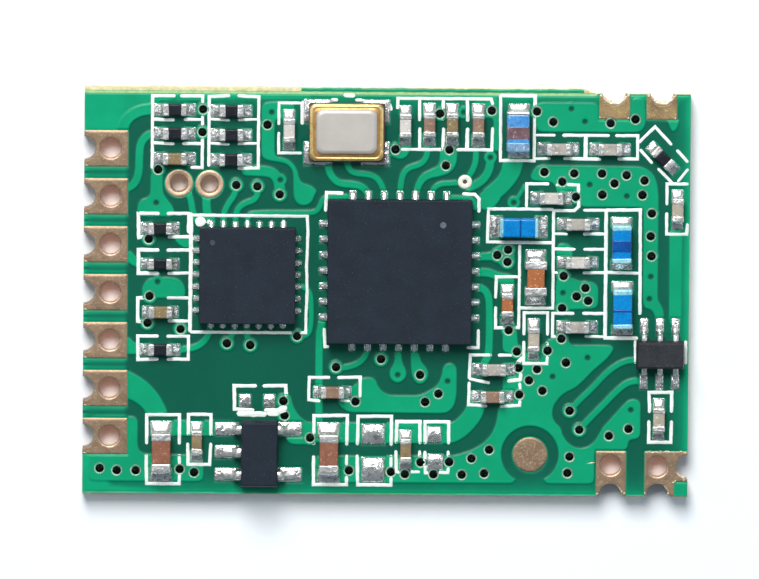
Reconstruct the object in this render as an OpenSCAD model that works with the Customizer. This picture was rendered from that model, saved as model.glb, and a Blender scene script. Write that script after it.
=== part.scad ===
// Castellated radio module: a populated circuit board with plated edge pads.
// Frame: origin at the middle of the board outline on its underside, +Z up,
// +X along the long side, away from the column of seven edge pads.

/* [Board] */
// Length of the board along X
board_l = 25.2; // [25:0.1:25.6]
// Width of the board along Y, with the snapped edge strip
board_w = 17.0; // [17:0.1:17.2]
// Thickness of the bare glass-epoxy laminate
lam_t = 0.93; // [0.7:0.01:1.5]
// Thickness of each copper layer
cu_t = 0.035; // [0.03:0.005:0.07]
// Thickness of solder mask over copper
mask_t = 0.02; // [0.015:0.005:0.03]
// Thickness of the printed legend
ink_t = 0.012; // [0.01:0.002:0.02]

/* [Edge pads] */
// Pitch of the pads in the left column
pad_pitch = 2.0; // [1.95:0.01:2.0]
// Number of pads in the left column
pad_count = 7; // [7]
// Y of the first left pad, nearest the snapped edge
pad_y0 = 5.9; // [5.8:0.05:6.0]
// Length of a left pad along Y
pad_w = 1.5; // [1.4:0.05:1.55]
// Reach of a left pad in from the edge
pad_reach = 1.85; // [1.75:0.05:1.9]
// Drilled diameter of the round hole in each pad
pad_hole_d = 0.96; // [0.9:0.02:1.0]
// Drilled diameter of the half-round edge notches
notch_d = 1.06; // [1.0:0.02:1.1]
// Thickness of plating on a hole wall
plate_t = 0.03; // [0.02:0.005:0.04]

/* [Vias] */
// Drilled diameter of a small via
via_d = 0.34; // [0.3:0.01:0.36]
// Diameter of the copper ring around a via
via_ring_d = 0.56; // [0.5:0.02:0.6]

/* [Packages] */
// Side of the large square package
u1_side = 6.0; // [5.8:0.1:6.0]
// Side of the small square package
u2_side = 4.0; // [3.9:0.1:4.0]
// Height of the square packages
qfn_h = 0.85; // [0.75:0.05:0.95]
// Height of the two gull-wing packages
sot_h = 0.95; // [0.9:0.05:1.1]
// Gap between a pad and the part soldered on it
film_t = 0.02; // [0.015:0.005:0.03]

/* [Hidden] */

// Heights of the layers, from the underside up
z_lam0 = mask_t + cu_t;
z_lam1 = z_lam0 + lam_t;
z_cu1 = z_lam1 + cu_t;
z_top = z_cu1 + mask_t;
z_part = z_cu1 + film_t;
hl = board_l / 2;
hw = board_w / 2;
eps = 0.01;

// Where the board ends on the side that was snapped from its panel
snap_y = 8.28;

// Small drilled vias that stand open
VIAS = [[-9.53, 5.03], [-7.68, 7.55], [-7.7, 6.6], [-5, 6.92], [-6.28, 4.4], [-5.4, 4.35], [-4.47, 4.02],
    [0.33, 5.93], [2.17, 7.43], [4.32, 7.57], [2.57, 5.93], [2.43, 5.27], [6.2, 7.55], [6.88, 7.12],
    [6.53, 5.03], [7.77, 4.98], [7.28, 4.63], [9.27, 7.08], [10.3, 7.25], [8.93, 4.98], [9.95, 4.92],
    [9.45, 4.57], [10.7, 4.7], [10.62, 4.1], [8.95, 4.1], [11.02, 3.33], [10.98, 2.38], [11.02, 1.55],
    [7.85, 4], [4.6, 1.55], [5.05, 1.78], [5.03, 1.27], [7.37, 0.7], [8.28, 0.2], [7.92, -0.15],
    [8.4, -0.33], [7.32, -0.65], [5.1, -1.58], [5.45, -2.47], [6.73, -2.42], [5.53, -3.15], [6.3, -3.2],
    [5.97, -3.67], [5.57, -4.27], [6.53, -4.1], [7.3, -1.92], [7.5, -2.92], [4.33, -6.58], [7.67, -4.93],
    [8.08, -5.72], [7.68, -6.85], [7.6, -7.53], [3.6, -6.95], [3.2, -7.63], [4.13, -7.57], [2.67, -7.1],
    [2.02, -7.62], [1.48, -7.12], [0.83, -7.62], [0.25, -7.53], [1.65, -4.6], [2.2, -4.25], [1.43, -3.47],
    [-0.2, -2.82], [-2.07, -3.17], [-1.25, -4.6], [-3.7, -1.88], [-1.5, -7.48], [-3.13, -6.13],
    [-4.25, -4.6], [-4.2, -5.2], [-6.62, -2.2], [-5.65, -2.27], [-8.55, -1.62], [-9.93, -1.37],
    [-9.85, -0.25], [-9.9, 2.13], [-11.88, -7.45], [-11.17, -7.53], [-10.38, -7.53], [-8.55, -7.47],
    [-7.95, -7.6], [9.32, -5.97], [10.13, -5.67]];

// Copper areas of the top layer, as outlines
POURS = [
    [[-9.82, 4.95], [-9.82, 4], [-9.98, 3.82], [-10.25, 3.74], [-10.36, 3.5], [-10.36, 3.1], [-8.85, 3.1], [-8.9, 3.45], [-9.15, 3.75], [-9.36, 4.05], [-9.36, 4.95]],
    [[-10.12, 0.15], [-9.98, 0.4], [-9.65, 0.52], [-8.8, 0.52], [-8.5, 0.34], [-8.38, 0.05], [-8.4, -0.3], [-10.1, -0.3], [-10.15, -0.05]],
    [[-8.85, 2.2], [-8.2, 2.2], [-8.14, 1.9], [-8.35, 1.76], [-8.65, 1.92]],
    [[-10.9, -3.32], [-10.4, -3.55], [-9.95, -3.84], [-9.52, -4.28], [-9.24, -4.75], [-9.05, -5.2], [-9.9, -5.2], [-10.05, -4.95], [-10.32, -4.7], [-10.7, -4.5], [-10.9, -4.5]],
    [[-12.3, -5.3], [-10.45, -5.3], [-10.33, -5.42], [-10.33, -6.5], [-10.22, -6.75], [-9.95, -6.88], [-8, -6.9], [-7.58, -6.9], [-7.58, -7.95], [-12.3, -7.95]],
    [[-9.7, -5.45], [-6.2, -5.45], [-6.2, -6.05], [-9.7, -6.05]],
    [[-5.22, 7.8], [-4.7, 7.86], [-3.9, 7.86], [-3.9, 7.2], [-4.72, 7.2], [-4.72, 5.58], [-4.25, 5.52], [-3.95, 5.34], [-3.76, 5.02], [-3.7, 4.7], [-3.55, 4.48], [-3.12, 4.36], [-2.94, 4.18], [-3.06, 3.98], [-3.14, 3.74], [-3.34, 3.6], [-3.62, 3.6], [-3.85, 3.82], [-3.88, 4.3], [-3.88, 4.92], [-4.02, 5.2], [-4.26, 5.36], [-4.65, 5.42], [-5.12, 5.5], [-5.22, 5.72]],
    [[2.2, 6.1], [2.2, 5.46], [2.08, 5.22], [1.78, 5.06], [1.46, 4.92], [1.24, 4.64], [1.08, 4.1], [1.32, 4.1], [1.42, 4.48], [1.72, 4.76], [2.2, 4.84], [2.62, 5], [2.82, 5.3], [2.88, 5.62], [2.86, 6.1]],
    [[4.85, 5.6], [4.75, 5.02], [4.5, 4.66], [4.2, 4.4], [3.95, 4.2], [3.98, 3.72], [4.2, 3.7], [4.62, 3.9], [5.02, 4.25], [5.32, 4.62], [5.52, 4.95], [5.66, 5.6]],
    [[4.42, 5.9], [4.62, 5.9], [4.62, 8.05], [3.6, 8.05], [3.6, 7.3], [4.42, 7.3]],
    [[6.2, 6.74], [6.2, 7.9], [8.76, 7.9], [8.76, 7.22], [10.06, 7.22], [10.12, 8.1], [10.64, 8.1], [10.72, 7.3], [10.66, 6.92], [10.45, 6.74]],
    [[11.62, 7.3], [12.1, 7.3], [12.05, 6.96], [11.88, 6.74], [11.76, 6.92]],
    [[5.95, 4.7], [6.05, 5.08], [6.3, 5.3], [10.62, 5.26], [11.02, 5.02], [11.2, 4.62], [11.27, 4], [11.27, -0.3], [11.42, -0.5], [11.54, -0.8], [11.54, -1.3], [11.22, -1.3], [11.2, -0.86], [11.02, -0.64], [10.76, -0.6], [10.7, -0.3], [10.7, 3.62], [8.06, 3.62], [7.95, 3.8], [7.3, 3.7], [7.1, 3.7], [7.1, 4.3], [6.9, 4.65]],
    [[11.78, 2.7], [12.27, 2.7], [12.27, -1.3], [11.8, -1.3]],
    [[7.1, 0.66], [7.6, 0.66], [8.1, 0.44], [8.5, 0.46], [8.74, 0.34], [8.8, 0.08], [8.8, -0.46], [8.7, -0.62], [7.1, -0.7], [7.06, 0]],
    [[7.08, 1.05], [7.08, 1.95], [7.3, 2.05], [7.6, 2], [7.7, 1.85], [7.7, 1.05]],
    [[3.7, 1.34], [3.7, 1.62], [4.3, 1.62], [4.5, 1.84], [4.9, 2.02], [5.22, 1.96], [5.3, 1.7], [5.28, 1.2], [5.12, 1], [4.84, 1.06], [4.6, 1.3], [4.4, 1.36]],
    [[3.7, 0.7], [3.7, 0.98], [4.3, 0.98], [4.72, 0.8], [5.3, 0.72], [5.3, 0], [4.8, 0], [4.7, 0.5], [4.3, 0.66]],
    [[4.88, -1.2], [5.36, -1.2], [5.46, -2], [5.52, -2.5], [4.88, -2.5]],
    [[-1, -3.62], [-0.46, -3.62], [-0.36, -3.94], [-0.12, -4.22], [0.2, -4.36], [1.4, -4.36], [1.76, -4.2], [2.18, -3.92], [2.36, -3.5], [2.4, -3.12], [2.6, -3], [2.8, -3], [2.93, -3.16], [2.93, -4.3], [2.84, -4.74], [2.62, -4.98], [2.4, -5.04], [-1.58, -5.02], [-2, -4.66], [-1.8, -4], [-1.3, -4]],
    [[-4.5, -4.3], [-3.98, -4.3], [-3.9, -4.75], [-3.66, -5.18], [-3.3, -5.48], [-2.95, -5.52], [-2.95, -6.38], [-3.95, -6.38], [-4.15, -6.1], [-4.4, -5.4]],
    [[-2.96, -5.55], [-1.85, -5.5], [2.78, -5.5], [3.02, -5.3], [3.26, -5.04], [3.42, -4.72], [3.6, -4.2], [4, -4.2], [4.15, -4.75], [4.08, -4.98], [3.94, -5.32], [3.6, -5.76], [3.2, -6.1], [2.78, -6.3], [-2.96, -6.3]],
    [[4.72, -4.8], [4.9, -4.6], [4.9, -2.95], [5.6, -2.9], [5.85, -2.5], [6.6, -2.2], [6.76, -1.94], [7.56, -1.94], [7.66, -2.14], [7.8, -2.2], [9.4, -2.2], [9.46, -2.36], [9.2, -2.72], [8.62, -3.22], [8.2, -3.66], [7.9, -3.94], [7.4, -4.18], [7.12, -4.48], [6.94, -4.8], [6.92, -5.2], [7.06, -5.45], [7.28, -5.62], [7.36, -5.95], [7.6, -6.3], [7.95, -6.5], [8.28, -6.52], [8.52, -6.42], [8.76, -6.2], [8.95, -5.86], [9.1, -5.6], [9.5, -5.16], [9.9, -4.7], [10.12, -4.5], [10.36, -4.44], [10.6, -4.52], [10.6, -5.94], [10.48, -6.06], [10.12, -6.1], [10.06, -6.56], [8.7, -6.56], [8.7, -7.95], [6.7, -7.95], [6.7, -7.8], [5.36, -7.8], [5.36, -7.95], [-2.9, -7.95], [-2.9, -6.9], [2.9, -6.86], [3.6, -6.64], [4.1, -6.34], [4.48, -5.9], [4.66, -5.4]],
    [[-11.1, 1.6], [-10.6, 1.6], [-10.42, 1.32], [-9.8, 1.3], [-9.8, 0.95], [-10.5, 0.98], [-10.8, 1.24], [-11.1, 1.24]],
    [[-11.1, -1.9], [-10.7, -1.98], [-10.44, -2.26], [-9.8, -2.3], [-9.8, -2.66], [-10.7, -2.66], [-11.1, -2.6]],
    [[0.37, -2.5], [0.63, -2.5], [0.64, -2.95], [0.84, -3.3], [0.82, -3.6], [0.5, -3.82], [0.2, -3.62], [0.18, -3.3], [0.4, -2.95]],
    [[1.05, -2.5], [1.33, -2.5], [1.42, -2.9], [1.7, -3.2], [1.76, -3.5], [1.62, -3.76], [1.36, -3.84], [1.14, -3.6], [1.08, -3.2]]];

// Traces of the top layer: width, then the points along the middle
TRACES = [
    [0.4, [[-11, 6.5], [-10.98, 6.9], [-10.72, 7.26], [-10.3, 7.48], [-9.8, 7.55], [-9.4, 7.55]]],
    [0.28, [[-10.9, 4.2], [-10.5, 4.4], [-10.33, 4.85], [-10.32, 5.6], [-10.28, 6.1], [-10.05, 6.42], [-9.75, 6.52], [-9.4, 6.52]]],
    [0.4, [[-5.85, 5.02], [-5.2, 5], [-4.78, 4.94], [-4.54, 4.68], [-4.47, 4.3], [-4.47, 4.02]]],
    [0.2, [[-6.28, 4.4], [-6.33, 4], [-6.62, 3.62], [-6.8, 3.2], [-6.8, 2.8]]],
    [0.2, [[-5.4, 4.35], [-5.38, 4], [-5.56, 3.76], [-5.95, 3.64], [-6.22, 3.42], [-6.3, 3.1], [-6.3, 2.8]]],
    [0.17, [[-5.8, 2.8], [-5.8, 3.1], [-5.62, 3.26], [-3.3, 3.26], [-2.95, 3.3], [-2.78, 3.55], [-2.72, 3.8], [-2.5, 3.94], [-1.43, 3.95]]],
    [0.22, [[-8.3, 4.2], [-8.14, 3.7], [-8.1, 3.3], [-7.9, 2.9]]],
    [0.3, [[-7.5, 4.1], [-7.52, 3.6], [-7.48, 3.2], [-7.3, 2.9]]],
    [0.25, [[-2.5, 5.6], [-2.46, 5.05], [-2.24, 4.68], [-1.95, 4.48], [-1.3, 4.46], [-0.95, 4.32], [-0.77, 4.05]]],
    [0.2, [[-1.75, 5.6], [-1.62, 5.1], [-1.35, 4.92], [-0.7, 4.88], [-0.38, 4.7], [-0.2, 4.38], [-0.12, 4.05]]],
    [0.2, [[1.68, 6.2], [1.64, 5.6], [1.36, 5.3], [0.95, 5.2], [0.68, 5], [0.57, 4.6], [0.53, 4.05]]],
    [0.18, [[3.23, 4.6], [2.8, 4.54], [2.2, 4.52], [1.94, 4.34], [1.83, 4.05]]],
    [0.2, [[3.68, 6.2], [3.68, 5.5], [3.58, 5.15], [3.4, 4.85], [3.23, 4.6]]],
    [0.3, [[4.3, 5.65], [4.24, 5.1], [4.02, 4.72], [3.7, 4.48], [3.4, 4.36]]],
    [0.14, [[2.48, 3.95], [3.45, 3.93], [3.62, 3.82], [3.66, 3.5]]],
    [0.5, [[0.3, 5.9], [0.6, 5.75], [0.72, 6.2]]],
    [0.26, [[3.7, 0.22], [4.02, 0.16], [4.22, -0.06], [4.3, -0.5], [4.3, -2.2], [4.26, -2.7], [4, -3.1]]],
    [0.26, [[-2.6, -1.1], [-2.72, -1.5], [-2.78, -1.9], [-2.78, -4.2], [-2.76, -5.6]]],
    [0.2, [[-0.77, -2.3], [-0.84, -2.7], [-1.15, -3.02], [-1.6, -3.18], [-2.07, -3.2]]],
    [0.18, [[-0.12, -2.3], [-0.2, -2.82]]],
    [0.17, [[-3.75, 0.17], [-3.4, 0.17], [-3.18, -0.05], [-3.12, -0.5], [-3.12, -1.5], [-3.26, -1.84], [-3.7, -1.95]]],
    [0.22, [[-7.3, -1.4], [-7.36, -1.8], [-7.6, -2.18], [-8, -2.42], [-8.7, -2.5]]],
    [0.2, [[-6.3, -1.4], [-6.36, -1.8], [-6.6, -2.15]]],
    [0.2, [[-5.8, -1.4], [-5.8, -1.9], [-5.65, -2.27]]],
    [0.2, [[7.67, -4.93], [8.05, -4.5], [8.6, -3.98], [9.15, -3.36], [9.65, -2.98], [10.1, -2.8], [10.7, -2.78]]],
    [0.22, [[8.08, -5.72], [8.5, -5.24], [9, -4.74], [9.5, -4.2], [9.95, -3.8], [10.3, -3.66], [10.8, -3.66]]],
    [0.12, [[5.27, 3.75], [5.48, 4.02], [5.7, 4.42]]]];

// Filled vias that show only as a dimple under the mask
DIMPLES = [[-4.83, 7.45], [-4.45, 4.63], [-9.6, 3.65], [-9.52, 0.35], [7.63, 7.68], [8.2, 7.15], [8.42, 4.52],
    [9.97, 4.05], [11, 0.7], [10.95, -0.23], [7.35, 0], [6.95, -3.5], [8.4, -2.7], [0.5, -3.47], [2.58, -3.72],
    [4.28, 5.62], [5.27, 3.75], [10.22, -4.87], [3.15, 7.5]];

// Legend lines: width, then the points
INK = [
    [0.12, [[-8.87, 8.1], [-9.78, 8.1], [-9.78, 5.1]]],
    [0.12, [[-8.6, 8.1], [-7.7, 8.1], [-7.7, 7.85]]],
    [0.12, [[-9.74, 7.12], [-8.9, 7.1]]], [0.12, [[-8.45, 7.12], [-7.75, 7.12]]],
    [0.12, [[-9.74, 6.14], [-8.9, 6.1]]], [0.12, [[-8.5, 6.12], [-7.75, 6.12]]],
    [0.12, [[-7.7, 7.25], [-7.7, 6.92]]], [0.12, [[-7.7, 6.32], [-7.7, 5.12], [-8.15, 5.12]]],
    [0.12, [[-6.6, 8.12], [-7.43, 8.08], [-7.43, 5.2]]],
    [0.12, [[-6.22, 8.12], [-5.37, 8.08], [-5.37, 5.12], [-6.2, 5.1]]],
    [0.1, [[-7.38, 7.15], [-6.6, 7.1]]], [0.1, [[-6.2, 7.12], [-5.42, 7.14]]],
    [0.1, [[-7.38, 6.14], [-6.6, 6.1]]], [0.1, [[-6.2, 6.12], [-5.42, 6.15]]],
    [0.11, [[-4.53, 6.95], [-4.53, 7.84], [-3.62, 7.84]]], [0.11, [[-4.53, 6.6], [-4.53, 5.75], [-3.6, 5.75]]],
    [0.13, [[-2.12, 7.98], [-3.4, 7.98], [-3.56, 7.84], [-3.56, 6.98]]],
    [0.13, [[-1.32, 7.98], [-0.6, 7.98]]], [0.13, [[-0.45, 7.98], [0, 7.95], [0.14, 7.6]]],
    [0.16, [[-1.8, 8.18], [-1.42, 8.16]]],
    [0.12, [[0.4, 7.65], [0.42, 8.06], [4.3, 8.06], [4.36, 7.85]]],
    [0.12, [[4.36, 6.85], [4.33, 5.94], [2.9, 5.94]]], [0.12, [[2.25, 5.94], [0.6, 5.94]]],
    [0.12, [[1.32, 8], [1.32, 7.15]]], [0.12, [[1.33, 6.82], [1.33, 6]]],
    [0.13, [[2.3, 8], [2.3, 7.2]]], [0.12, [[2.32, 6.82], [2.3, 6]]],
    [0.13, [[3.3, 8], [3.32, 7.15]]], [0.15, [[3.32, 6.82], [3.3, 6]]],
    [0.13, [[4.68, 8.2], [6.12, 8.2], [6.12, 7.8]]], [0.12, [[6.1, 7.3], [6.1, 5.5], [4.7, 5.5], [4.68, 8.2]]],
    [0.1, [[6.15, 6.57], [6.95, 6.57]]], [0.12, [[7.3, 6.57], [9.2, 6.57]]], [0.12, [[9.5, 6.57], [10.4, 6.57], [10.4, 5.6], [9.6, 5.6]]],
    [0.1, [[6.15, 5.58], [6.75, 5.6]]], [0.12, [[7.35, 5.6], [8.85, 5.58]]], [0.16, [[8.24, 6.5], [8.24, 5.62]]],
    [0.12, [[10.46, 6.3], [11.12, 6.95], [11.8, 6.22]]], [0.12, [[12.05, 5.97], [12.48, 5.5]]],
    [0.12, [[10.52, 5.98], [11, 5.45]]], [0.12, [[11.27, 5.2], [11.85, 4.62]]], [0.1, [[12.1, 4.68], [12.5, 5.18]]],
    [0.12, [[12.5, 4.57], [11.64, 4.57], [11.64, 3.72]]], [0.12, [[11.64, 3.35], [11.64, 2.48], [12.48, 2.48], [12.5, 2.9]]],
    [0.12, [[6.7, 4.54], [5.8, 4.54], [5.8, 3.6]]], [0.12, [[7.05, 4.5], [7.1, 4.5]]], [0.12, [[7.5, 4.52], [7.95, 4.5], [7.97, 3.6], [7.8, 3.43], [6.95, 3.43]]],
    [0.12, [[6.9, 3.48], [4.22, 3.48], [4.18, 2.1], [6.88, 2.08]]], [0.12, [[6.93, 3.4], [6.93, -0.65], [5.5, -0.65]]],
    [0.12, [[8.2, 3.45], [9.13, 3.45]]], [0.1, [[6.98, 2.46], [7.5, 2.45]]], [0.12, [[8.2, 2.46], [9.1, 2.46]]],
    [0.12, [[6.98, 1.83], [7.82, 1.82]]], [0.12, [[8.22, 1.82], [9.1, 1.82]]], [0.12, [[8.2, 0.84], [9.1, 0.85]]], [0.1, [[6.98, 0.85], [7.1, 0.83]]],
    [0.14, [[9.12, 3.46], [9.12, -1.88], [10.45, -1.88]]], [0.13, [[9.12, 3.46], [10.54, 3.48], [10.56, -0.86]]], [0.12, [[9.15, 0.86], [10.5, 0.84]]],
    [0.12, [[5.53, 1.96], [5.53, 0.65]]], [0.12, [[5.5, 0.65], [4.57, 0.65], [4.55, -0.22]]], [0.12, [[4.55, -0.62], [4.55, -1.48], [4.9, -1.48]]], [0.12, [[5.32, -1.47], [5.52, -1.46], [5.53, 0.6]]],
    [0.12, [[5.74, -1.75], [5.74, -0.84], [6.72, -0.84], [6.72, -1.75]]], [0.12, [[5.74, -2.05], [5.74, -2.96], [6.7, -2.96], [6.72, -2.68]]], [0.12, [[6.7, -2.08], [6.72, -2.2]]],
    [0.12, [[7.8, -0.86], [6.93, -0.86], [6.93, -1.82], [7.1, -1.83]]], [0.12, [[8.2, -0.85], [9.08, -0.86]]], [0.1, [[8.3, -1.82], [9.1, -1.83]]],
    [0.12, [[4.38, -2.62], [3.52, -2.62], [3.48, -3.6]]], [0.12, [[4.7, -2.62], [5.22, -2.62]]], [0.12, [[3.5, -3.62], [4.3, -3.78]]], [0.12, [[3.48, -3.78], [3.46, -4.7], [4.2, -4.74]]],
    [0.14, [[5.1, -3.7], [5.6, -3.64], [5.62, -3.4]]], [0.12, [[5.58, -3.8], [5.6, -4.02]]], [0.12, [[4.8, -4.76], [5.58, -4.72], [5.6, -4.52]]], [0.16, [[5.5, -2.92], [5.68, -2.72]]],
    [0.12, [[-2.35, -3.6], [-3.18, -3.6], [-3.2, -4.54], [-2.75, -4.58]]], [0.12, [[-1.98, -3.6], [-1.06, -3.58], [-1.06, -4.38]]], [0.1, [[-1.85, -4.55], [-1.5, -4.58]]],
    [0.13, [[-9.93, -6.4], [-9.93, -5.2], [-8.57, -5.2], [-8.57, -6.4]]], [0.13, [[-9.94, -6.88], [-9.92, -8.08], [-8.57, -8.08], [-8.55, -7.7]]], [0.12, [[-8.57, -6.88], [-8.56, -7.22]]],
    [0.13, [[-8.2, -6.02], [-8.2, -5.18], [-7.26, -5.18], [-7.26, -6.02]]], [0.13, [[-8.22, -6.4], [-8.2, -7.27], [-7.3, -7.27], [-7.26, -6.4]]],
    [0.13, [[-2.97, -6.38], [-2.97, -5.2], [-1.58, -5.18], [-1.6, -6.4]]], [0.13, [[-2.98, -6.9], [-2.97, -8.08], [-1.6, -8.08], [-1.6, -7.75]]], [0.12, [[-1.6, -6.86], [-1.6, -7.22]]],
    [0.13, [[-1.15, -6.38], [-1.13, -5.22], [0.26, -5.2], [0.25, -6.4]]], [0.13, [[-1.16, -6.86], [-1.13, -8.08], [0.25, -8.08], [0.26, -7.78]]], [0.12, [[0.25, -6.86], [0.25, -7.28]]],
    [0.13, [[0.46, -6.3], [0.48, -5.42], [1.44, -5.42], [1.45, -6.32]]], [0.13, [[0.45, -6.66], [0.48, -7.52], [0.58, -7.54]]], [0.12, [[1.44, -6.66], [1.44, -6.86]]], [0.12, [[1.1, -7.52], [1.42, -7.52]]],
    [0.13, [[1.66, -6.32], [1.66, -5.42], [2.64, -5.42], [2.64, -6.32]]], [0.13, [[1.66, -6.68], [1.68, -7.55], [1.78, -7.56]]], [0.12, [[2.63, -6.66], [2.63, -6.84]]], [0.12, [[2.28, -7.54], [2.62, -7.54], [2.64, -7.36]]],
    [0.14, [[-5.4, -3.97], [-6.3, -3.97], [-6.28, -4.95], [-5.5, -4.98]]], [0.14, [[-5.08, -3.97], [-4.16, -3.95], [-4.14, -4.35]]], [0.16, [[-4.14, -4.86], [-4.4, -5], [-5.0, -4.98]]], [0.16, [[-6.1, -5.16], [-4.98, -5.15]]], [0.16, [[-4.75, -5.15], [-4.46, -5.14]]],
    [0.13, [[11, -4.95], [10.98, -4.14], [11.92, -4.13], [11.92, -4.94]]], [0.13, [[10.98, -5.34], [10.98, -6.22], [11.9, -6.22], [11.92, -5.34]]],
    [0.14, [[-9.5, 3.2], [-10.34, 3.2], [-10.32, 2.2], [-10.12, 2.22]]], [0.13, [[-9.12, 3.2], [-8.2, 3.2]]], [0.12, [[-9.08, 2.22], [-8.2, 2.24]]],
    [0.14, [[-9.5, 1.67], [-10.32, 1.68], [-10.32, 0.7], [-9.5, 0.7]]], [0.13, [[-9.12, 1.67], [-8.2, 1.68]]], [0.12, [[-9.08, 0.7], [-8.2, 0.72]]],
    [0.14, [[-10.1, -0.32], [-10.34, -0.34], [-10.34, -1.3], [-10.18, -1.32]]], [0.12, [[-9.1, -0.32], [-8.2, -0.32]]], [0.12, [[-9.05, -1.28], [-8.2, -1.28]]],
    [0.13, [[-9.5, -1.92], [-10.33, -1.92], [-10.32, -2.9], [-9.5, -2.88]]], [0.12, [[-9.1, -1.92], [-8.22, -1.92], [-8.22, -2.88], [-9.08, -2.88]]],
    [0.15, [[-8.14, 3.2], [-8.16, -1.7]]], [0.12, [[-8.2, 3.14], [-3.32, 3.12], [-3.28, 2.5], [-3.33, 1], [-3.3, 0], [-3.34, -1.2], [-3.34, -1.74], [-8.12, -1.74]]],
    [0.13, [[-1.86, 4.1], [-2.52, 4.12], [-2.56, 3.36]]], [0.13, [[3.16, 4.1], [3.64, 4.08], [3.82, 3.9], [3.82, 3.36]]],
    [0.12, [[-2.58, -1.56], [-2.54, -2.32], [-2.4, -2.32]]], [0.12, [[3.84, -1.58], [3.84, -2.32], [3.4, -2.32]]],
    [0.12, [[10.38, -2], [10.4, -2.9]]], [0.12, [[12.48, -2], [12.48, -2.92]]]];

// Two-ended chip parts: X, Y, turn, length, width, height, land reach beyond each end, land width
RESISTORS = [
    [-8.85, 7.53, 0, 1, 0.5, 0.36, 0.38, 0.52], [-8.85, 6.54, 0, 1, 0.5, 0.36, 0.38, 0.52],
    [-6.5, 7.5, 0, 1, 0.52, 0.36, 0.36, 0.52], [-6.5, 6.5, 0, 1, 0.52, 0.36, 0.36, 0.52], [-6.5, 5.46, 0, 1, 0.52, 0.36, 0.36, 0.52],
    [-9.43, 2.58, 0, 1, 0.5, 0.36, 0.3, 0.52], [-9.42, 1.1, 0, 1, 0.45, 0.36, 0.3, 0.48], [-9.4, -2.48, 0, 1, 0.5, 0.36, 0.34, 0.5],
    [11.45, 5.65, -45, 1, 0.5, 0.36, 0.3, 0.5]];
CAPACITORS = [
    [-8.85, 5.5, 0, 1, 0.5, 0.5, 0.38, 0.52], [-4.1, 6.72, 90, 1, 0.5, 0.5, 0.36, 0.52],
    [0.73, 6.94, 90, 1, 0.5, 0.5, 0.34, 0.5], [1.73, 6.98, 90, 1, 0.5, 0.5, 0.4, 0.54],
    [2.68, 6.98, 90, 1, 0.5, 0.5, 0.4, 0.54], [3.76, 6.97, 90, 1, 0.5, 0.5, 0.4, 0.56],
    [7.1, 6, 0, 1, 0.5, 0.5, 0.36, 0.54], [9.25, 6, 0, 1, 0.5, 0.5, 0.36, 0.54],
    [12.08, 3.5, 90, 1, 0.5, 0.5, 0.34, 0.5], [6.82, 3.95, 0, 1, 0.5, 0.5, 0.36, 0.54],
    [7.95, 2.87, 0, 1, 0.5, 0.5, 0.38, 0.52], [7.95, 1.28, 0, 1, 0.5, 0.5, 0.36, 0.5],
    [6.2, 0.64, 90, 1.6, 0.82, 0.8, 0.36, 0.86], [5.03, -0.5, 90, 1, 0.5, 0.5, 0.34, 0.56],
    [6.14, -1.95, 90, 1, 0.5, 0.5, 0.38, 0.5], [7.95, -1.42, 0, 1, 0.5, 0.5, 0.36, 0.54],
    [4.5, -3.22, 0, 1, 0.5, 0.5, 0.4, 0.52], [4.45, -4.35, 0, 1, 0.5, 0.5, 0.38, 0.5],
    [-2.22, -4.2, 0, 1, 0.5, 0.5, 0.3, 0.5], [-9.4, -0.9, 0, 1, 0.5, 0.5, 0.26, 0.5],
    [-9.33, -6.72, 90, 1.6, 0.8, 0.8, 0.46, 0.92], [-7.85, -6.32, 90, 1, 0.46, 0.5, 0.34, 0.52],
    [-2.36, -6.74, 90, 1.6, 0.8, 0.8, 0.46, 0.96], [0.85, -6.6, 90, 1, 0.48, 0.5, 0.34, 0.54],
    [11.38, -5.25, 90, 1, 0.5, 0.5, 0.38, 0.5]];
INDUCTORS = [
    [5.46, 6.74, 90, 1.7, 0.85, 0.8, 0.28, 0.9], [5.48, 2.74, 0, 1.6, 0.8, 0.8, 0.4, 0.94],
    [9.76, 2.08, 90, 1.6, 0.8, 0.8, 0.3, 0.9], [9.82, -0.62, 90, 1.65, 0.8, 0.8, 0.3, 0.9]];
// Bare tinned lands with no part on them: X, Y, size along X, size along Y
BARE = [[-5.85, -4.57, 0.52, 0.54], [-4.84, -4.57, 0.52, 0.54], [-0.5, -5.95, 1, 0.86], [-0.5, -7.44, 1, 1.06],
    [2.05, -5.95, 0.62, 0.68], [2.1, -7.1, 0.68, 0.68]];

// Square packages: X, Y, pin pitch, land width, body height, reach of each solder toe on its left, right, lower and upper side
U1 = [0.53, 0.87, 0.65, 0.28, 0.34];
U2 = [-5.8, 0.67, 0.5, 0.24, 0.22];
// Gull-wing packages
U3 = [11.4, -2.52];
U3_X = [-0.66, 0, 0.65];
U4 = [-5.24, -6.72];
U4_Y = [0.95, 0, -0.95];
// Crystal
XC = [-1.7, 6.64];

// Round edge pads with a hole: X, Y
LEFT_Y = [for (i = [0:pad_count - 1]) pad_y0 - i * pad_pitch];
HOLE_C = [9.4, -7.2];
HOLE_D = [11.35, -7.25];
PTH = [[-8.66, 4.47], [-7.39, 4.44]];
PTH_D = 0.8;

// Open polyline with its corners cut twice, ends kept
function cut(p, n) = n == 0 || len(p) < 3 ? p : cut([p[0], for (i = [1:len(p) - 2]) each [0.25 * p[i - 1] + 0.75 * p[i], 0.75 * p[i] + 0.25 * p[i + 1]], p[len(p) - 1]], n - 1);
function unit(v) = v / norm(v);
function side(p, i) = let (a = p[max(i - 1, 0)], b = p[min(i + 1, len(p) - 1)], t = unit(b - a)) [-t[1], t[0]];

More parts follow.
